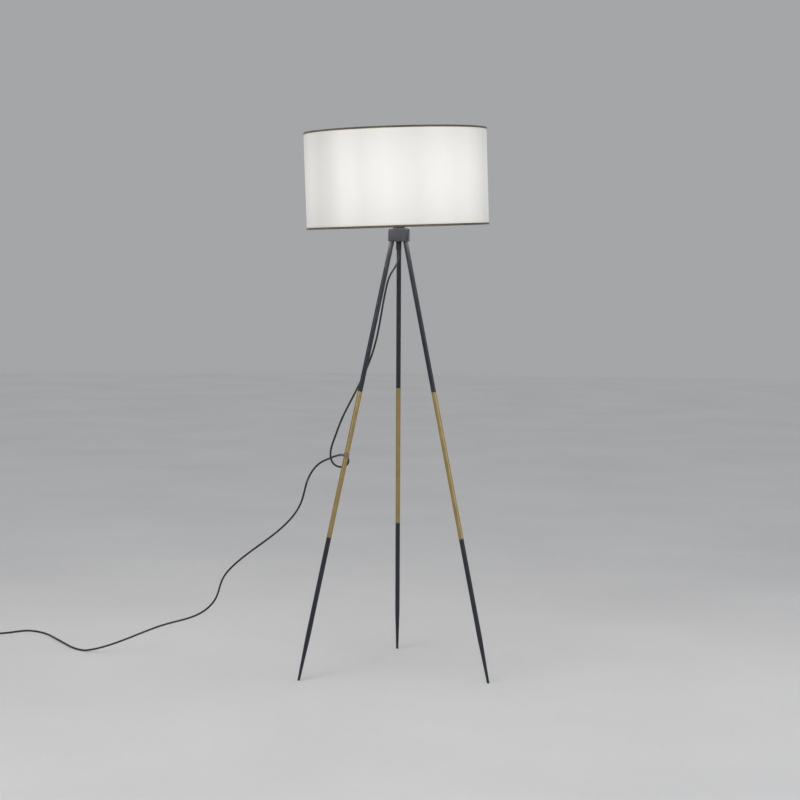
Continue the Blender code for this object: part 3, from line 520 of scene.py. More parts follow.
# %% [markdown]
# ## Painted steel
# The black lengths and the hub are steel with a satin powder coat that has a little blue in it.
# Powder flows out into a very fine orange peel, and handling leaves faint duller patches. The
# middle lengths have a gold lacquer over steel drawn lengthwise, so fine lines run along them.

# %% Finishes for the painted steel
def black_paint():
    """Blue-black satin coat: roughness = 0.28 + 0.12 patches + 0.12 dust, bump from orange peel."""
    material, w, shader = finish("black_paint", Specular_IOR_Level=0.40, Coat_Roughness=0.18)
    patches = w.noise(w.place(), 45.0, 4.0)
    dust = w.noise(w.place(scale=(1.0, 1.0, 0.25)), 420.0, 2.0).above(0.62, 0.12)
    base = patches.above(0.35, 0.4).mix((0.010, 0.012, 0.020), (0.017, 0.020, 0.031))
    base = (dust * 0.35).mix(base, (0.055, 0.060, 0.075))
    peel = w.noise(w.place(), 900.0, 1.0)
    connect(w, shader, Base_Color=base, Roughness=patches * 0.12 + 0.28 + dust * 0.12,
            Coat_Weight=0.20 - patches * 0.2, Normal=w.bump(peel, 0.00004))
    return material


def gold_paint():
    """Gold lacquer on drawn steel: fine lines, a noise squeezed 60 times along the tube."""
    material, w, shader = finish("gold_paint", Specular_IOR_Level=0.5, Coat_Roughness=0.12)
    lines = w.noise(w.place("UV", (1.0, 0.016, 1.0)), 2600.0, 3.0)
    tone = w.noise(w.place(), 22.0, 3.0)
    base = tone.above(0.3, 0.4).mix((0.33, 0.240, 0.085), (0.41, 0.300, 0.115))
    base = (lines.above(0.45, 0.3) * 0.25).mix(base, (0.26, 0.175, 0.060))
    connect(w, shader, Base_Color=base, Metallic=0.82 - tone * 0.1,
            Roughness=0.30 + lines * 0.16, Coat_Weight=0.35 - tone * 0.2,
            Normal=w.bump(lines, 0.00003))
    return material


BLACK_PAINT, GOLD_PAINT = ("black_paint", black_paint()), ("gold_paint", gold_paint())
print("painted steel:", BLACK_PAINT[0], GOLD_PAINT[0])

# %% [markdown]
# ## The three legs
# Each leg is three lengths screwed end to end on one slanting line. The lowest is a bar that is
# turned down to a slim point over a plastic tip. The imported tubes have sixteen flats, which show
# when the camera comes close, so finer ones stand for them, with their ends eased: the joints then
# read as thin dark lines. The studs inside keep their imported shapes.

# %% Turn the legs
EDGE = 0.0005                 # how soft a tube's end is
POINT_EDGE = 0.0002
TAPER_UP = 0.121              # the lowest length narrows below this height along the leg
TAPER_EDGE = 0.006
TUBE_WALL = 0.0012
TUBE_STEPS = 64


def ride_for(piece, body, look, *stood_for):
    """Gives a piece the finish of a look, a (slot, finish) pair whose slot is not used; puts it on
    its body and hides the imported pieces that it stands for.
    """
    slot, material = look
    piece.data.materials.clear()
    piece.data.materials.append(material)
    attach(piece, body)
    if stood_for:
        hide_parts(*stood_for)
    return piece


def turn_for(node, name, profile, look, body="stand", ring=True, step=None, **how):
    """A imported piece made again: its profile is eased, split where needed, and turned."""
    profile = eased(profile, closed=ring)
    if step:
        profile = split_long(profile, step)
    return ride_for(turned(name, profile, closed=ring, **how), body, look, node)


def leg_place(side):
    """A leg's own frame: the middle tube's axis, carried down to the floor."""
    place = own_frame(f"leg_middle_{side}")
    axis = place.col[2].xyz
    place.translation -= axis * (place.translation.z / axis.z)
    return place


for side in LEGS:
    place = leg_place(side)
    on_leg = {"place": place, "steps": TUBE_STEPS}
    low, top, wide = reach(f"leg_lower_{side}", place)
    point = radius_near(f"leg_lower_{side}", place, low)
    bar = [(0.0, low), (point, low, POINT_EDGE), (wide, TAPER_UP, TAPER_EDGE), (wide, top, EDGE),
           (wide - TUBE_WALL, top), (0.0, top)]
    turn_for(f"leg_lower_{side}", f"lower_length_{side}", bar, BLACK_PAINT, ring=False, step=0.03,
             **on_leg)
    for kind, look in (("middle", GOLD_PAINT), ("upper", BLACK_PAINT)):
        node = f"leg_{kind}_{side}"
        low, top, wide = reach(node, place)
        turn_for(node, f"{kind}_length_{side}", pipe(wide, wide - TUBE_WALL, low, top, EDGE), look,
                 **on_leg)
    print(side, "leg: tube", round(wide * 2000, 1), "mm, up to", round(top, 3), "m along it")

# %% [markdown]
# ## The feet
# A plastic tip is pushed into each leg's point and cut level with the floor. It is turned with
# the leg and longer than needed, and every point below the floor slides up along the leg's axis
# to it: p - axis p_z / axis_z.

# %% Mould the feet
BLACK_PLASTIC = ("black_plastic", mottled(
    "black_moulding", (0.010, 0.010, 0.011), (0.020, 0.020, 0.021), tone=(60.0, 3.0),
    grain=(1600.0, 2.0), rough=(0.40, 0.16), depth=0.00003, Specular_IOR_Level=0.45))
FOOT_SHARE = 0.905            # the tip's width against the leg's point
FOOT_BELOW = -0.004           # it starts this far under the floor
PEG_R = 0.0015


def cut_level(piece, axis):
    """Slides the points under the floor up along an axis: p - axis (p_z / axis_z)."""
    mesh = piece.data
    points = np.empty(len(mesh.vertices) * 3)
    mesh.vertices.foreach_get("co", points)
    points = points.reshape(-1, 3)
    share = np.minimum(points[:, 2:], 0.0) / axis[2]
    mesh.vertices.foreach_set("co", (points - share * np.array(axis)).ravel())
    mesh.update()


for side in LEGS:
    place = leg_place(side)
    node = f"foot_tip_{side}"
    collar = reach(f"leg_lower_{side}", place)[0]
    peg = reach(node, place)[1]
    wide = radius_near(f"leg_lower_{side}", place, collar)
    narrow = wide * FOOT_SHARE
    profile = eased([(0.0, FOOT_BELOW), (narrow * 0.96, FOOT_BELOW), (narrow, 0.0012, 0.0008),
                     (wide, collar - GAP, 0.0004), (PEG_R, collar - GAP), (PEG_R, peg), (0.0, peg)])
    foot = turned(f"plastic_tip_{side}", split_long(profile, 0.002), place, 48)
    cut_level(foot, place.col[2].xyz)
    ride_for(foot, "stand", BLACK_PLASTIC, node)
print("three tips, cut level with the floor")

# %% [markdown]
# ## The hub
# A thick puck that the three legs screw into, and a thin disc that closes it. The light from the
# shade falls on the disc's rounded upper edge, which is why the edge is modelled wider than the
# others. A fine groove stays between the two.

# %% Turn the hub
HUB_EDGE = 0.0009
COVER_EDGE = 0.0018
SOFT_EDGE, FINE_EDGE, KEEN_EDGE = 0.0006, 0.0004, 0.0003
STEM_R = 0.0053               # the bore that the threaded nipple stands in
POCKET_R, POCKET_DEEP = 0.011, 0.0165


def span(node):
    """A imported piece's lowest and highest level, and half its width."""
    low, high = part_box(node)
    return low.z, high.z, (high.x - low.x) / 2


hub_bottom, hub_top, hub_radius = span("hub_body")
cover_low, cover_high, _ = span("hub_cover")
puck = [(STEM_R, hub_bottom), (hub_radius, hub_bottom, HUB_EDGE),
        (hub_radius, hub_top, FINE_EDGE), (POCKET_R, hub_top), (POCKET_R, hub_top - POCKET_DEEP),
        (STEM_R, hub_top - POCKET_DEEP)]
turn_for("hub_body", "hub_puck", puck, BLACK_PAINT, steps=160)
disc = [(STEM_R, cover_low), (hub_radius, cover_low, KEEN_EDGE),
        (hub_radius, cover_high, COVER_EDGE), (STEM_R, cover_high, KEEN_EDGE)]
turn_for("hub_cover", "hub_disc", disc, BLACK_PAINT, steps=160)
print("hub", round(hub_radius * 2000, 1), "mm across and",
      round((cover_high - hub_bottom) * 1000, 1), "mm tall")

# %% [markdown]
# ## The cord grip
# Under the hub a plastic grip holds the cord: a plain body against the hub and a nut below it
# that squeezes a rubber seal. Shallow flutes round the nut are for the fingers. They are a ripple
# on the radius, depth times cos^4(n t / 2), faded out towards the nut's ends.

# %% Turn the cord grip
def between(height, low, high, over):
    """1 between two levels, falling to 0 over a distance inside both."""
    return np.clip(np.minimum(height - low, high - height) / over, 0.0, 1.0)


def flutes(count, depth, low, high):
    """A relief of grip flutes between two heights: -depth cos^4(n t / 2), faded at both ends."""
    def relief(angle, height, radius):
        fade = between(height, low, high, 0.12 * (high - low))
        return -depth * np.cos(count * angle / 2) ** 4 * fade * (radius > 0.9 * radius.max())
    return relief


nut_low, nut_high, grip_radius = span("gland_nut")
bore = CORD_WIDTH / 2 + GAP
collar = [(bore, hub_bottom - GAP), (grip_radius, hub_bottom - GAP, FINE_EDGE),
          (grip_radius, nut_high + GAP, FINE_EDGE), (bore, nut_high + GAP)]
turn_for("gland_body", "cord_grip_body", collar, BLACK_PLASTIC, steps=72)
grip_nut = [(bore, nut_high), (grip_radius, nut_high, EDGE),
            (grip_radius, nut_low + 0.0064, 0.001), (grip_radius * 0.93, nut_low + 0.003, 0.001),
            (grip_radius * 0.72, nut_low, 0.0006), (bore, nut_low, FINE_EDGE)]
turn_for("gland_nut", "cord_grip_nut", grip_nut, BLACK_PLASTIC, step=0.0006, steps=144,
         relief=flutes(18, 0.0005, nut_low + 0.0055, nut_high - 0.0005))
print("cord grip", round((hub_bottom - nut_low) * 1000, 1), "mm long under the hub")

# %% [markdown]
# ## The lampholder
# Black plastic: a cap that holds the turn switch, a threaded sleeve with a shoulder that the shade
# rests on, and a ring nut that clamps it. A screw thread is a helix, so the sleeve's radius
# depends on height / pitch - angle / (2 pi): its fraction runs down one flank and up the other.

# %% Turn the lampholder
THREAD_STEP = 0.0005          # a profile's points are this close where a thread is cut
HOLDER_WALL = 0.0022
SHOULDER_THICK = 0.0024
SLEEVE_PITCH, SLEEVE_DEPTH = 0.0030, 0.0006


def thread(pitch, depth, low, high):
    """A relief of a rounded thread between two heights: -depth sin^2(pi (h / pitch - t / 2 pi))."""
    def relief(angle, height, radius):
        wave = np.sin(math.pi * (height / pitch - angle / (2 * math.pi))) ** 2
        return -depth * wave * between(height, low, high, pitch)
    return relief


def outer_only(relief, inside):
    """The same relief, but only on the outer wall."""
    return lambda angle, height, radius: relief(angle, height, radius) * (radius > inside)


cap_low, cap_high, cap_radius = span("holder_cap")
belly = cap_low + (cap_high - cap_low) * 0.36
cap_inner = cap_radius - HOLDER_WALL
cap = [(STEM_R, cap_low), (0.0150, cap_low, SOFT_EDGE),
       (0.0182, cap_low + (cap_high - cap_low) * 0.11, 0.002), (cap_radius, belly, 0.003),
       (cap_radius, cap_high, EDGE), (cap_inner, cap_high, KEEN_EDGE), (cap_inner, belly),
       (0.0128, cap_low + HOLDER_WALL), (STEM_R, cap_low + HOLDER_WALL)]
turn_for("holder_cap", "holder_foot", cap, BLACK_PLASTIC, steps=128)

sleeve_low, sleeve_high, _ = span("holder_sleeve")
fitter_low, fitter_high, _ = span("shade_fitter")
sleeve_radius = radius_near("holder_sleeve", UPRIGHT, sleeve_high)
shoulder_radius = reach("holder_sleeve", UPRIGHT)[2]
shoulder_top = fitter_low - GAP
shoulder_low = shoulder_top - SHOULDER_THICK
sleeve_inner = sleeve_radius - HOLDER_WALL
sleeve = [(sleeve_inner, sleeve_low), (sleeve_radius, sleeve_low, FINE_EDGE),
          (sleeve_radius, shoulder_low, KEEN_EDGE), (shoulder_radius, shoulder_low, FINE_EDGE),
          (shoulder_radius, shoulder_top, FINE_EDGE), (sleeve_radius, shoulder_top),
          (sleeve_radius, sleeve_high, SOFT_EDGE), (sleeve_inner, sleeve_high, SOFT_EDGE)]
sleeve_thread = thread(SLEEVE_PITCH, SLEEVE_DEPTH, shoulder_top + 0.0005, sleeve_high - 0.001)
turn_for("holder_sleeve", "holder_threaded_sleeve", sleeve, BLACK_PLASTIC, step=THREAD_STEP,
         steps=128, relief=outer_only(sleeve_thread, sleeve_inner + 0.001))

ring_low, ring_high, _ = span("shade_ring_nut")
ring_radius = reach("shade_ring_nut", UPRIGHT)[2]
ring_bore = sleeve_radius + GAP
ring_nut = [(ring_bore, ring_low, KEEN_EDGE), (ring_radius, ring_low, FINE_EDGE),
            (ring_radius, ring_low + 0.002, FINE_EDGE), (ring_radius * 0.93, ring_low + 0.002),
            (ring_radius * 0.92, ring_high, SOFT_EDGE), (ring_bore, ring_high, KEEN_EDGE)]
ring_flutes = flutes(24, 0.0011, ring_low + 0.0022, ring_high + 0.002)
turn_for("shade_ring_nut", "ring_nut", ring_nut, BLACK_PLASTIC, step=THREAD_STEP, steps=192,
         relief=outer_only(ring_flutes, ring_radius * 0.90))
print("the shade sits at", round(fitter_low, 4), "under a ring nut",
      round(ring_radius * 2000, 1), "mm wide")

# %% [markdown]
# ## The turn switch
# A small fluted knob on a shaft sticks out of the lampholder's cap, towards the front. It is
# turned about its own level axis, so it keeps its place when the switch joint moves. Its face is
# dished a little, and its rim is rounded where a thumb rolls it.

# %% Turn the knob
KNOB_LENGTH = 0.0130
SHAFT_R = 0.0020
knob_low, knob_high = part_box("switch_knob")
knob_level = (knob_low.z + knob_high.z) / 2
KNOB_PLACE = (Matrix.Translation((AXIS.x, AXIS.y, knob_level))
              @ Matrix.Rotation(math.pi / 2, 4, "X"))
knob_radius = span("switch_knob")[2]
knob_far, knob_near = AXIS.y - knob_low.y, AXIS.y - knob_high.y
knob_root = knob_far - KNOB_LENGTH
dish = knob_far - 0.0004
knob = [(0.0, knob_near), (SHAFT_R, knob_near, KEEN_EDGE), (SHAFT_R, knob_root),
        (knob_radius, knob_root, EDGE), (knob_radius * 0.97, knob_far, 0.0012),
        (knob_radius * 0.55, knob_far, EDGE), (knob_radius * 0.50, dish), (0.0, dish)]
knob_flutes = flutes(20, 0.0005, knob_root + 0.001, knob_far - 0.0008)
turn_for("switch_knob", "turn_knob", knob, BLACK_PLASTIC, "switch", ring=False, step=0.0007,
         place=KNOB_PLACE, steps=120, relief=outer_only(knob_flutes, knob_radius * 0.8))
print("knob", round(knob_radius * 2000, 1), "mm across at height", round(knob_level, 4))

# %% [markdown]
# ## Bright metals and ceramic
# Inside the lampholder a brass shell takes the bulb's nickel cap. Plated metal is smooth but never
# clean: its roughness wanders, and turned parts keep fine rings from the tool. The rings are a
# noise squeezed along the axis. The ceramic core is off-white with small darker grains.

# %% Finishes for metal and ceramic
def bright_metal(name, pale, deep, rough):
    """Turned metal: tone between two colours by patches, rings from a noise squeezed along Z."""
    material, w, shader = finish(name, Metallic=1.0)
    patches = w.noise(w.place(), 70.0, 4.0)
    rings = w.noise(w.place(scale=(1.0, 1.0, 40.0)), 60.0, 3.0)
    base = patches.above(0.3, 0.4).mix(deep, pale)
    connect(w, shader, Base_Color=base, Roughness=patches * 0.18 + rings * 0.10 + (rough - 0.12),
            Normal=w.bump(rings, 0.00002))
    return material


BRASS = bright_metal("bright_brass", (0.74, 0.56, 0.26), (0.60, 0.42, 0.17), 0.28)
NICKEL = bright_metal("nickel_plate", (0.74, 0.72, 0.68), (0.60, 0.58, 0.54), 0.24)
ZINC = bright_metal("zinc_plate", (0.66, 0.67, 0.69), (0.50, 0.51, 0.53), 0.34)
CERAMIC = mottled("holder_ceramic", (0.80, 0.79, 0.75), (0.62, 0.60, 0.55), (1500.0, 3.0),
                  (1500.0, 3.0), (0.55, 0.2), 0.00003, (0.55, 0.15), Specular_IOR_Level=0.3)
print("metals:", BRASS.name, NICKEL.name, ZINC.name)

# %% Turn the screw shell
SHELL_WALL = 0.0004
SHELL_LIP = 0.0034
LAMP_PITCH = 0.0036           # the thread that bulb and shell share
shell_low, shell_high, shell_radius = span("screw_shell")
shell_inner, shell_lip = shell_radius - SHELL_WALL, shell_radius - SHELL_LIP
shell_floor = shell_low + SHELL_WALL
shell = [(shell_lip, shell_low), (shell_radius, shell_low), (shell_radius, shell_high),
         (shell_inner, shell_high), (shell_inner, shell_floor), (shell_lip, shell_floor)]
shell_thread = thread(LAMP_PITCH, 0.0007, shell_low + 0.002, shell_high - 0.001)
turn_for("screw_shell", "brass_screw_shell", shell, ("bright_brass", BRASS), step=THREAD_STEP,
         relief=outer_only(shell_thread, shell_radius - 0.001))
print("screw shell", round((shell_high - shell_low) * 1000, 1), "mm deep")

# %% [markdown]
# ## The bulb
# A nickel screw cap, a white plastic body that widens upwards, and an opal dome that glows. The
# dome's opal takes the light evenly, a touch warmer in clouds. It is modelled as a glowing
# surface, and one small lamp inside the shade lights what is around it.

# %% Finishes for the bulb
def opal_glow():
    """Lit opal of strength 4, its warm white paler and deeper by a soft noise, in a satin skin."""
    material, w, shader = finish("opal_glow", Base_Color=(0.92, 0.91, 0.88), Roughness=0.35,
                                 Emission_Strength=4.0)
    haze = w.noise(w.place(), 30.0, 2.0).above(0.2, 0.6)
    connect(w, shader, Emission_Color=haze.mix((0.95, 0.90, 0.80), (1.0, 0.97, 0.91)))
    return material


OPAL = opal_glow()
WHITE_MOULDING = mottled("white_moulding", (0.80, 0.80, 0.78), (0.86, 0.86, 0.85), (40.0, 3.0),
                         (900.0, 2.0), (0.32, 0.15), 0.00002, Specular_IOR_Level=0.5)
print("bulb finishes:", OPAL.name, WHITE_MOULDING.name)

# %% Turn the bulb
PLATED = ("pin_nickel", NICKEL)
screw_low, screw_high, screw_radius = span("bulb_cap")
screw = [(0.0, screw_low), (screw_radius * 0.42, screw_low, EDGE),
         (screw_radius, screw_low + 0.0042, 0.0012), (screw_radius, screw_high, FINE_EDGE),
         (screw_radius - 0.0008, screw_high), (0.0, screw_high - 0.002)]
turn_for("bulb_cap", "bulb_screw_cap", screw, PLATED, "bulb", ring=False, step=THREAD_STEP,
         relief=thread(LAMP_PITCH, 0.0006, screw_low + 0.005, screw_high - 0.0035))

body_low, body_high, body_radius = span("bulb_body")
share = np.linspace(0.0, 1.0, 24)
body_curve = np.stack((screw_radius + (body_radius - screw_radius) * share ** 0.75,
                       body_low + (body_high - body_low) * share), 1)
body_profile = np.concatenate(([(0.0, body_low)], [(screw_radius - 0.0006, body_low)], body_curve,
                               [(body_radius - 0.0012, body_high)], [(0.0, body_high)]))
turn_for("bulb_body", "bulb_housing", body_profile, ("white_plastic", WHITE_MOULDING), "bulb",
         ring=False)

globe_low, globe_high, globe_radius = span("bulb_globe")
turn = np.linspace(math.asin(-0.34), math.pi / 2, 32)
globe_curve = np.stack((globe_radius * np.cos(turn),
                        globe_high - globe_radius * (1 - np.sin(turn))), 1)
globe_curve[0] = (body_radius, globe_low)
globe_curve[-1, 0] = 0.0
globe_profile = np.concatenate(([(0.0, globe_low)], globe_curve))
turn_for("bulb_globe", "bulb_dome", globe_profile, ("opal_globe", OPAL), "bulb", ring=False)
print("bulb from", round(screw_low, 4), "to", round(globe_high, 4))

# %% [markdown]
# ## The drum shade
# A length of fine white cotton is laminated to a translucent lining, bent into a drum and joined
# with a lap at the back. It is lit from inside, so what shows is the light that comes through,
# painted as a glow: soft upright bands of brighter and darker glow, a brighter middle, and warmer
# strips at the hems, where the cloth is folded double. The glow is lower on the front left, partly
# to offset the light that the key lamp adds there. The cloth is one sheet worked out on a grid
# round the drum's own leaning axis; its radius ripples by a fraction of a millimetre between the
# two wires, and the last stretch climbs over the first at the lap.

# %% Measure the drum
DRUM = own_frame("shade_fabric", longest=False)
cloth_low, cloth_high, cloth_radius = reach("shade_fabric", DRUM)
lining_low, lining_high, lining_radius = reach("shade_liner", DRUM)
cloth_height = cloth_high - cloth_low
LAP = 0.012
cloth_length = 2 * math.pi * cloth_radius + LAP
to_front = DRUM.inverted().to_3x3() @ Vector((0.0, -1.0, 0.0))
FRONT_TURN = math.atan2(to_front.y, to_front.x)
lean = math.degrees(DRUM.col[2].xyz.angle((0, 0, 1)))
print("drum: radius", round(cloth_radius, 4), "height", round(cloth_height, 4), "leaning",
      round(lean, 2), "degrees, its front at", round(math.degrees(FRONT_TURN), 1))

# %% Finishes for the shade
# Levels of painted glow, lower on the front left partly to offset the key lamp's light there
BANDS = (                     # round the drum: (degrees from the front to the right, brightness)
    (-180, 0.74), (-158, 0.88), (-141, 0.78), (-122, 0.90), (-104, 0.76), (-90, 0.64), (-76, 0.66),
    (-66, 0.75), (-54, 0.63), (-45, 0.70), (-35, 0.91), (-28, 0.92), (-21, 0.84), (-13, 0.90),
    (-6, 0.94), (4, 0.87), (13, 0.83), (21, 0.93), (29, 0.98), (38, 0.95), (49, 0.98), (60, 0.86),
    (71, 0.69), (84, 0.72), (98, 0.66), (117, 0.88), (133, 0.78), (149, 0.92), (165, 0.80),
    (180, 0.74),
)
HEM = 0.0130                  # the cloth is double this far from its upper and lower edge
TAPE_SHOWN = 0.0052           # the tape covers this much of it


def lit_level(w, low, high):
    """Height on a rolled sheet, from -1 at one hem to 1 at the other: 2 v / height - 1."""
    v = w.node("ShaderNodeSeparateXYZ", None, {0: w.node("ShaderNodeTexCoord", output=2)}, 1)
    return v * (2.0 / (high - low)) - 1.0


def tinted(w, colour, light):
    """A colour times a brightness."""
    return w.node("ShaderNodeVectorMath", {"operation": "SCALE"}, {0: colour, "Scale": light})


def glowing_cloth():
    """Light through cloth: band(u) x (1 - 0.24 level^2) x threads, a little warmer in a hem.

    The threads are two noises squeezed along u and along v, and a third, coarser one for the
    thicker picks. The bands wander a little with height, so they are not ruled.
    """
    # Its own colour is a grey darker than white cotton, so the studio lamps add little to the
    # painted glow
    material, w, shader = finish("glowing_cloth", Base_Color=(0.42, 0.415, 0.395),
                                 Emission_Strength=0.60, Sheen_Weight=0.2, Sheen_Roughness=0.5)
    u = w.node("ShaderNodeSeparateXYZ", None, {0: w.node("ShaderNodeTexCoord", output=2)}, 0)
    level = lit_level(w, cloth_low, cloth_high)
    wander = (w.noise(w.place("UV", (2.0, 5.0, 1.0)), 1.5, 2.0) - 0.5) * 0.02
    stops = [(0.5 + angle / 360, (bright,) * 3) for angle, bright in BANDS]
    bands = w.node("ShaderNodeValToRGB", {"stops": stops}, {0: u * (1 / cloth_length) + wander})
    bands = w.node("ShaderNodeSeparateColor", None, {0: bands})
    warp = w.noise(w.place("UV", (1.0, 0.02, 1.0)), 1100.0, 2.0)
    weft = w.noise(w.place("UV", (0.02, 1.0, 1.0)), 1100.0, 2.0)
    picks = w.noise(w.place("UV", (0.04, 1.0, 1.0)), 260.0, 2.0)
    weave = 1.06 - warp * 0.10 - weft * 0.10 - picks * 0.01
    hem = w.sum("ABSOLUTE", level).above(1 - 2 * HEM / cloth_height, 0.010)
    light = bands * (1.0 - level * level * 0.24) * weave * (1.0 + hem * 0.05)
    warm = hem.mix((1.0, 0.985, 0.95), (1.0, 0.945, 0.85))
    connect(w, shader, Emission_Color=tinted(w, warm, light), Roughness=0.7 + warp * 0.2,
            Normal=w.bump(warp + weft, 0.00012, 0.5))
    return material


def glowing_lining():
    """The inside: film with a painted glow of the bulb's light, brighter than the cloth, falling
    off by 0.25 level^2.
    """
    material, w, shader = finish("glowing_lining", Base_Color=(0.88, 0.87, 0.83), Roughness=0.42,
                                 Emission_Strength=1.0)
    level = lit_level(w, lining_low, lining_high)
    film = w.noise(w.place("UV", (3.0, 0.6, 1.0)), 5.0, 2.0)
    light = (1.0 - level * level * 0.25) * (0.94 + film * 0.12)
    connect(w, shader, Emission_Color=tinted(w, (1.0, 0.975, 0.93), light),
            Normal=w.bump(film, 0.0004, 0.3))
    return material


def painted_shade_tape():
    """Cotton tape in a dark brown that is painted shade beside the glowing cloth: fine slanting
    ribs, with pale thread ends here and there.
    """
    material, w, shader = finish("painted_shade_tape", Sheen_Weight=0.2, Sheen_Roughness=0.5)
    ribs = w.noise(w.place("UV", (1.0, 0.12, 1.0), (0.0, 0.0, 0.6)), 1500.0, 2.0)
    frays = w.noise(w.place("UV"), 420.0, 3.0).above(0.63, 0.05)
    wear = w.noise(w.place(), 14.0, 3.0).above(0.3, 0.4)
    base = frays.mix(wear.mix((0.075, 0.062, 0.044), (0.130, 0.108, 0.078)), (0.62, 0.60, 0.54))
    connect(w, shader, Base_Color=base, Roughness=0.85 - frays * 0.2,
            Normal=w.bump(ribs + frays * 0.5, 0.0003, 0.7))
    return material


CLOTH, LINING = ("shade_fabric", glowing_cloth()), ("shade_liner", glowing_lining())
TAPE = ("shade_trim", painted_shade_tape())
WHITE_WIRE = ("white_wire", mottled(
    "white_powder", (0.79, 0.79, 0.77), (0.87, 0.87, 0.86), (50.0, 2.0), (700.0, 2.0),
    (0.34, 0.14), 0.00004, Specular_IOR_Level=0.5))
print("shade finishes:", *(look[1].name for look in (CLOTH, LINING, TAPE, WHITE_WIRE)))

# %% Bend the wire frame
WIRE_R = 0.0016
ARM_SWELL = 0.0005            # how much thicker a weld leaves the end of an arm
WELD_LENGTH = 0.0035


def wire_ring(name, node):
    """A closed wire ring: radius R + r cos t at height h + r sin t, carried round the drum."""
    low, high, wide = reach(node, DRUM)
    turn = np.linspace(0.0, 2 * math.pi, BAR_SIDES, endpoint=False)
    loop = np.stack((wide - WIRE_R + WIRE_R * np.cos(turn),
                     (low + high) / 2 + WIRE_R * np.sin(turn)), 1)
    return turn_for(node, name, loop, WHITE_WIRE, "shade", place=DRUM, steps=256)


upper_wire = wire_ring("upper_wire", "shade_ring_top")
lower_wire = wire_ring("lower_wire", "shade_ring_bottom")
for side in LEGS:
    node = f"shade_arm_{side}"
    place = own_frame(node)
    low, high, _ = reach(node, place)
    share = np.linspace(0.0, 1.0, 60)
    path = placed(np.stack((0 * share, 0 * share, low + (high - low) * share), 1), place)
    from_end = np.minimum(share, 1 - share) * (high - low)
    swell = ARM_SWELL * np.exp(-(from_end / WELD_LENGTH) ** 2)
    ride_for(along_path(f"arm_{side}", path, WIRE_R + swell, 20), "shade", WHITE_WIRE, node)
fitter_radius = reach("shade_fitter", UPRIGHT)[2]
fitter_profile = pipe(fitter_radius, sleeve_radius + GAP, fitter_low, fitter_high, EDGE)
turn_for("shade_fitter", "fitter_ring", fitter_profile, WHITE_WIRE, "shade", steps=128)
print("frame: two rings, three arms of", round(high - low, 3), "m and a fitter ring")

# %% Roll the cloth and its lining
SHEET_THICK = 0.0003


def rolled(name, radius, low, high, ripple, climb, length):
    """A sheet rolled round the drum's axis from one side of the back to the other.

    Point (share, level) is (r cos t, r sin t, h). r = radius + ripple x three waves of different
    counts x (1 - (2 level - 1)^4), which dies at the hems, + climb over the lap. The sheet's
    thickness goes inwards.
    """
    columns, rows = 481, 25
    share = np.linspace(0.0, 1.0, columns)[None, :]
    level = np.linspace(0.0, 1.0, rows)[:, None]
    angle = FRONT_TURN + (share - 0.5) * length / radius
    waves = (np.sin(9 * angle + 0.4) + 0.7 * np.sin(14 * angle + 2.1 + level)
             + 0.5 * np.sin(23 * angle + 4.0 - 2 * level)) / 2.2
    over = np.clip(((share - 1) * length + 1.6 * LAP) / (0.5 * LAP), 0.0, 1.0)
    wide = (radius + ripple * waves * (1 - (2 * level - 1) ** 4)
            + climb * over ** 2 * (3 - 2 * over))
    height = low + (high - low) * level + 0 * angle
    grid = np.stack((wide * np.cos(angle), wide * np.sin(angle), height), -1)
    sheet = skin(name, placed(grid, DRUM), round_columns=False, size=(length, high - low),
                 flip=False)
    wall = sheet.modifiers.new("thickness", "SOLIDIFY")
    wall.thickness = SHEET_THICK
    wall.offset = -1.0
    return sheet


cloth = rolled("cotton_cover", cloth_radius, cloth_low, cloth_high, 0.0003, 0.0004, cloth_length)
ride_for(cloth, "shade", CLOTH, "shade_fabric")
film_radius = lining_radius - SHEET_THICK
film = rolled("film_lining", film_radius, lining_low, lining_high, 0.0002, 0.0,
              2 * math.pi * film_radius - 0.0002)
ride_for(film, "shade", LINING, "shade_liner")
print("cloth", round(cloth_length, 3), "by", round(cloth_height, 3), "m")

# %% Roll the tape over both edges
TAPE_THICK = 0.0006
TAPE_INSIDE = 0.976           # the tape's inner radius as a share of its outer one
TAPE_WAVE = 0.00007
TAPE_EDGE = 0.0002


def edge_tape(name, node, upper):
    """Tape in a U round a wire and the cloth's edge, its own edges waving by 0.2 mm.

    The wave is a sum of three sines round the drum, added to the radius where the tape is
    furthest from the fold.
    """
    low, high, wide = reach(node, DRUM)
    inside = wide * TAPE_INSIDE
    fold, inner_end = (high, low) if upper else (low, high)
    way = -1 if upper else 1
    outer_end, fold_under = fold + way * TAPE_SHOWN, fold + way * TAPE_THICK
    loop = [(wide, outer_end, TAPE_EDGE), (wide, fold, 0.0016), (inside, fold, 0.0022),
            (inside, inner_end, TAPE_EDGE), (inside + TAPE_THICK, inner_end, TAPE_EDGE),
            (inside + TAPE_THICK, fold_under, 0.0018), (wide - TAPE_THICK, fold_under, 0.0012),
            (wide - TAPE_THICK, outer_end, TAPE_EDGE)]

    def lifted(angle, height, radius):
        away = np.clip(abs(height - fold) / TAPE_SHOWN, 0.0, 1.0)
        wave = np.sin(37 * angle) + np.sin(61 * angle + 1.0) + np.sin(103 * angle + 2.0)
        return TAPE_WAVE * wave * away

    return turn_for(node, name, loop, TAPE, "shade", place=DRUM, steps=384, relief=lifted)


upper_tape = edge_tape("upper_tape", "shade_trim_top", True)
lower_tape = edge_tape("lower_tape", "shade_trim_bottom", False)
print("tape from", [round(v, 4) for v in reach("shade_trim_bottom", DRUM)])

# %% [markdown]
# ## The cord, its plug and the clip
# The sheath is black plastic, smooth and a little soft. Where the cord leaves the grip and where
# it enters the plug it must not kink, so a rubber sleeve tapers off along it. The boot at the plug
# has ribs. The plug itself is a flat two-pin one without earth: its cross-section is a
# superellipse, |x / a|^n + |y / b|^n = 1, that grows from the cord's size to full width.

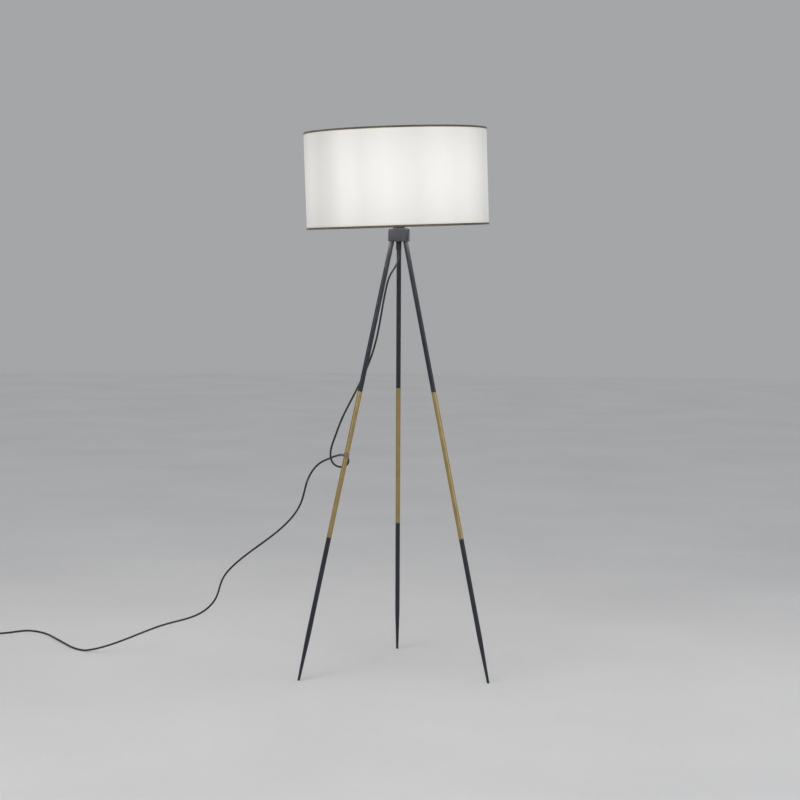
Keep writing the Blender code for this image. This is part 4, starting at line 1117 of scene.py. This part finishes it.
# %% Finishes for the cord and the clip
def cord_skin():
    """Soft black plastic: long faint scuffs along the cord, and a fine grain."""
    material, w, shader = finish("cord_skin", Specular_IOR_Level=0.45)
    grain = w.noise(w.place(), 1200.0, 2.0)
    scuffs = w.noise(w.place(), 28.0, 4.0)
    base = scuffs.above(0.45, 0.3).mix((0.012, 0.012, 0.013), (0.026, 0.026, 0.027))
    connect(w, shader, Base_Color=base, Roughness=0.36 + scuffs * 0.16 + grain * 0.08,
            Normal=w.bump(grain, 0.00003))
    return material


def clear_clip():
    """Clear plastic, faintly grey, with moulding haze in the roughness."""
    material, w, shader = finish("clear_clip", Transmission_Weight=0.96, IOR=1.49)
    haze = w.noise(w.place(), 180.0, 3.0)
    connect(w, shader, Base_Color=haze.mix((0.72, 0.73, 0.74), (0.84, 0.85, 0.86)),
            Roughness=0.05 + haze * 0.12, Normal=w.bump(haze, 0.00005))
    return material


CORD_SKIN, CLEAR_CLIP = ("cord_skin", cord_skin()), clear_clip()
ride_for(mains_lead, "stand", CORD_SKIN, "cord_run")
print("cord finishes:", CORD_SKIN[1].name, CLEAR_CLIP.name)

# %% Mould the sleeves on the cord
GRIP_SLEEVE = 0.022
PLUG_BOOT = 0.030
SLEEVE_SIDES = 32
walked = np.concatenate(([0.0], np.cumsum(np.linalg.norm(np.diff(cord_line, axis=0), axis=1))))


def cord_sleeve(name, start, length, radius):
    """A sleeve on the cord's own centreline, one radius for each of its points."""
    at = np.linspace(start, start + length, len(radius))
    path = np.stack([np.interp(at, walked, cord_line[:, axis]) for axis in range(3)], axis=1)
    return ride_for(along_path(name, path, radius, SLEEVE_SIDES), "stand", CORD_SKIN)


share = np.linspace(0.0, 1.0, 40)
taper = CORD_WIDTH / 2 + GAP + 0.0014 * (1 - share) ** 1.3
grip_sleeve = cord_sleeve("grip_sleeve", 0.0004, GRIP_SLEEVE, taper)
share = np.linspace(0.0, 1.0, 120)
ribs = 0.0005 * np.cos(2 * math.pi * 6 * share) ** 4 * (share > 0.08) * (share < 0.94)
boot_size = CORD_WIDTH / 2 + 0.0004 + 0.0013 * share - ribs
plug_boot = cord_sleeve("plug_boot", cord_length - PLUG_BOOT, PLUG_BOOT, boot_size)
print("sleeves", GRIP_SLEEVE * 1000, "and", PLUG_BOOT * 1000, "mm long")

# %% Mould the plug
PLUG_LENGTH = 0.0360
PLUG_SHOULDER = 0.018         # the plug is at its full width from here on
HALF_WIDE, HALF_THICK = 0.0135, 0.0070
PLUG_NOSE = 0.0041
PLUG_POWER = 3.6
PIN_R, PIN_LENGTH, PIN_PITCH = 0.0020, 0.0190, 0.0186
PIN_SUNK = 0.006
plug_aim = Vector(cord_line[-1] - cord_line[-8]).normalized()
plug_aim.z = 0.0
plug_aim.normalize()
up = Vector((0.0, 0.0, 1.0))
PLUG_PLACE = Matrix((plug_aim, up.cross(plug_aim), up)).transposed().to_4x4()
PLUG_PLACE.translation = Vector(cord_line[-1]) + plug_aim * GAP
stations = split_long(eased([(0.0, 0.0), (PLUG_NOSE, 0.0, 0.001), (0.0062, 0.009, 0.004),
                             (HALF_WIDE, PLUG_SHOULDER, 0.006), (HALF_WIDE, PLUG_LENGTH, 0.0012),
                             (0.0, PLUG_LENGTH)]), 0.0012)
half, far = stations[:, :1], stations[:, 1:]
grown = np.clip(far / PLUG_SHOULDER, 0.0, 1.0)
flat_half = np.minimum(half, PLUG_NOSE + (HALF_THICK - PLUG_NOSE) * grown)
turn = np.linspace(0.0, 2 * math.pi, 64, endpoint=False)
corner = (abs(np.cos(turn)) ** PLUG_POWER + abs(np.sin(turn)) ** PLUG_POWER) ** (-1 / PLUG_POWER)
bulge = 1 + (corner - 1)[None, :] * grown
plug_grid = np.stack((np.broadcast_to(far, bulge.shape), half * bulge * np.cos(turn),
                      flat_half * bulge * np.sin(turn)), -1)
plug_moulding = ride_for(skin("plug_moulding", placed(plug_grid, PLUG_PLACE),
                              size=(0.08, PLUG_LENGTH)), "stand", CORD_SKIN, "plug_body")
pin_root, pin_end = PLUG_LENGTH - PIN_SUNK, PLUG_LENGTH + PIN_LENGTH
pin = [(0.0, pin_root), (PIN_R, pin_root), (PIN_R, pin_end, 0.0014), (0.0, pin_end)]
pins = [turn_for(f"plug_pin_{kind}", f"{kind}_pin", pin, PLATED, ring=False, steps=32,
                 place=(PLUG_PLACE @ Matrix.Translation((0.0, way * PIN_PITCH / 2, 0.0))
                        @ Matrix.Rotation(math.pi / 2, 4, "Y")))
        for kind, way in (("live", 1), ("neutral", -1))]
print("plug", PLUG_LENGTH * 1000, "mm long, its pins", PIN_PITCH * 1000, "mm apart")

# %% [markdown]
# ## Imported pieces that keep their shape
# Studs, nuts, cores and contacts sit inside other pieces and are already round and fine enough.
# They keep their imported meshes, with a narrow bevel to catch light, and get finishes.

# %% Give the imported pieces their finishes
def core_skin(name, deep, pale):
    """The skin of one core: a clean colour with cloudy tone."""
    return mottled(name, deep, pale, (120.0, 3.0), (120.0, 3.0), (0.34, 0.14), 0.00003,
                   Specular_IOR_Level=0.45)


RUBBER = mottled("seal_rubber", (0.014, 0.014, 0.014), (0.040, 0.040, 0.042), (90.0, 4.0),
                 (90.0, 4.0), (0.62, 0.2), 0.00006, (0.4, 0.4), Specular_IOR_Level=0.3)
BROWN = core_skin("brown_core", (0.10, 0.042, 0.018), (0.15, 0.065, 0.030))
BLUE = core_skin("blue_core", (0.018, 0.10, 0.34), (0.035, 0.15, 0.45))
KEPT = {
    ZINC: [f"{kind}_{side}" for kind in ("joiner_lower", "joiner_upper", "top_stud")
           for side in LEGS] + ["nipple", "nipple_nut"],
    BRASS: ["centre_contact", "terminal_screw_live", "terminal_screw_neutral"],
    CERAMIC: ["holder_insert"], NICKEL: ["bulb_contact"], WHITE_MOULDING: ["switch_cam"],
    RUBBER: ["gland_seal"], CORD_SKIN[1]: ["lead_inside"], BROWN: ["core_live"],
    BLUE: ["core_neutral"], CLEAR_CLIP: ["cord_clip"],
}
for material, nodes in KEPT.items():
    for node in nodes:
        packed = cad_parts[node]
        packed.data.materials.clear()
        packed.data.materials.append(material)
        edge = packed.modifiers.new("edge", "BEVEL")
        edge.width = 0.0002
        edge.segments = 2
        edge.limit_method = "ANGLE"
        edge.angle_limit = math.radians(40)
print(sum(map(len, KEPT.values())), "packed pieces keep their shape")

# %% [markdown]
# ## The floor and the light
# A pale, faintly mottled floor and a plain soft studio light: one large lamp from the upper left
# in front, a weaker one from the right, a soft high one and a grey world. A small warm lamp stands
# in for the bulb, so that light falls on the hub and the tops of the legs.

# %% Floor, lamps and world
FLOOR_RINGS = (0.0, 0.5, 1.5, 4.0, 8.0, 14.0)
out_to = np.array(FLOOR_RINGS)[:, None]
angle = np.linspace(0.0, 2 * math.pi, 96, endpoint=False)
floor_grid = np.stack((out_to * np.cos(angle), out_to * np.sin(angle), 0 * out_to * angle), -1)
floor = skin("floor", floor_grid, size=(1.0, 1.0), flip=False)
floor.data.materials.append(mottled(
    "pale_floor", (0.66, 0.66, 0.665), (0.71, 0.71, 0.71), (1.4, 4.0), (240.0, 2.0), (0.6, 0.2),
    0.0001, Specular_IOR_Level=0.3))
floor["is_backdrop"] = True


def lamp(name, kind, power, colour=(1.0, 1.0, 1.0), place=(0.0, 0.0, 0.0), aim=None, **settings):
    """A light at a place, turned to face a point if there is one."""
    data = bpy.data.lights.new(name, kind)
    data.energy, data.color = power, colour
    for key, value in settings.items():
        setattr(data, key, value)
    light = bpy.data.objects.new(name, data)
    light.location = place
    if aim:
        light.rotation_euler = (Vector(aim) - Vector(place)).to_track_quat("-Z", "Y").to_euler()
    bpy.context.scene.collection.objects.link(light)
    return light


MIDDLE = (0.0, 0.0, 0.75)
lamp("key_light", "AREA", 70.0, (1.0, 0.985, 0.96), (-2.6, -3.4, 3.4), MIDDLE, size=2.2)
lamp("fill_light", "AREA", 42.0, (0.93, 0.96, 1.0), (3.4, -2.4, 2.2), MIDDLE, size=2.6)
sky_light = lamp("sky_light", "SUN", 0.6, angle=math.radians(40))
sky_light.rotation_euler = (math.radians(38), 0.0, math.radians(-18))
lamp("bulb_light", "POINT", 9.0, (1.0, 0.93, 0.84), (AXIS.x, AXIS.y, globe_high + 0.035),
     shadow_soft_size=0.03)
world = bpy.data.worlds.new("studio")
bpy.context.scene.world = world
world.use_nodes = True
backdrop = world.node_tree.nodes["Background"]
backdrop.inputs["Color"].default_value = (0.375, 0.38, 0.39, 1.0)
backdrop.inputs["Strength"].default_value = 1.0
bpy.context.scene.view_settings.view_transform = "Standard"
print("floor", FLOOR_RINGS[-1] * 2, "m across, three studio lamps and the bulb's own light")

# %% Measure the visual size
low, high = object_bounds()
print("visual size", [round((b - a) * 1000, 1) for a, b in zip(low, high)], "mm")
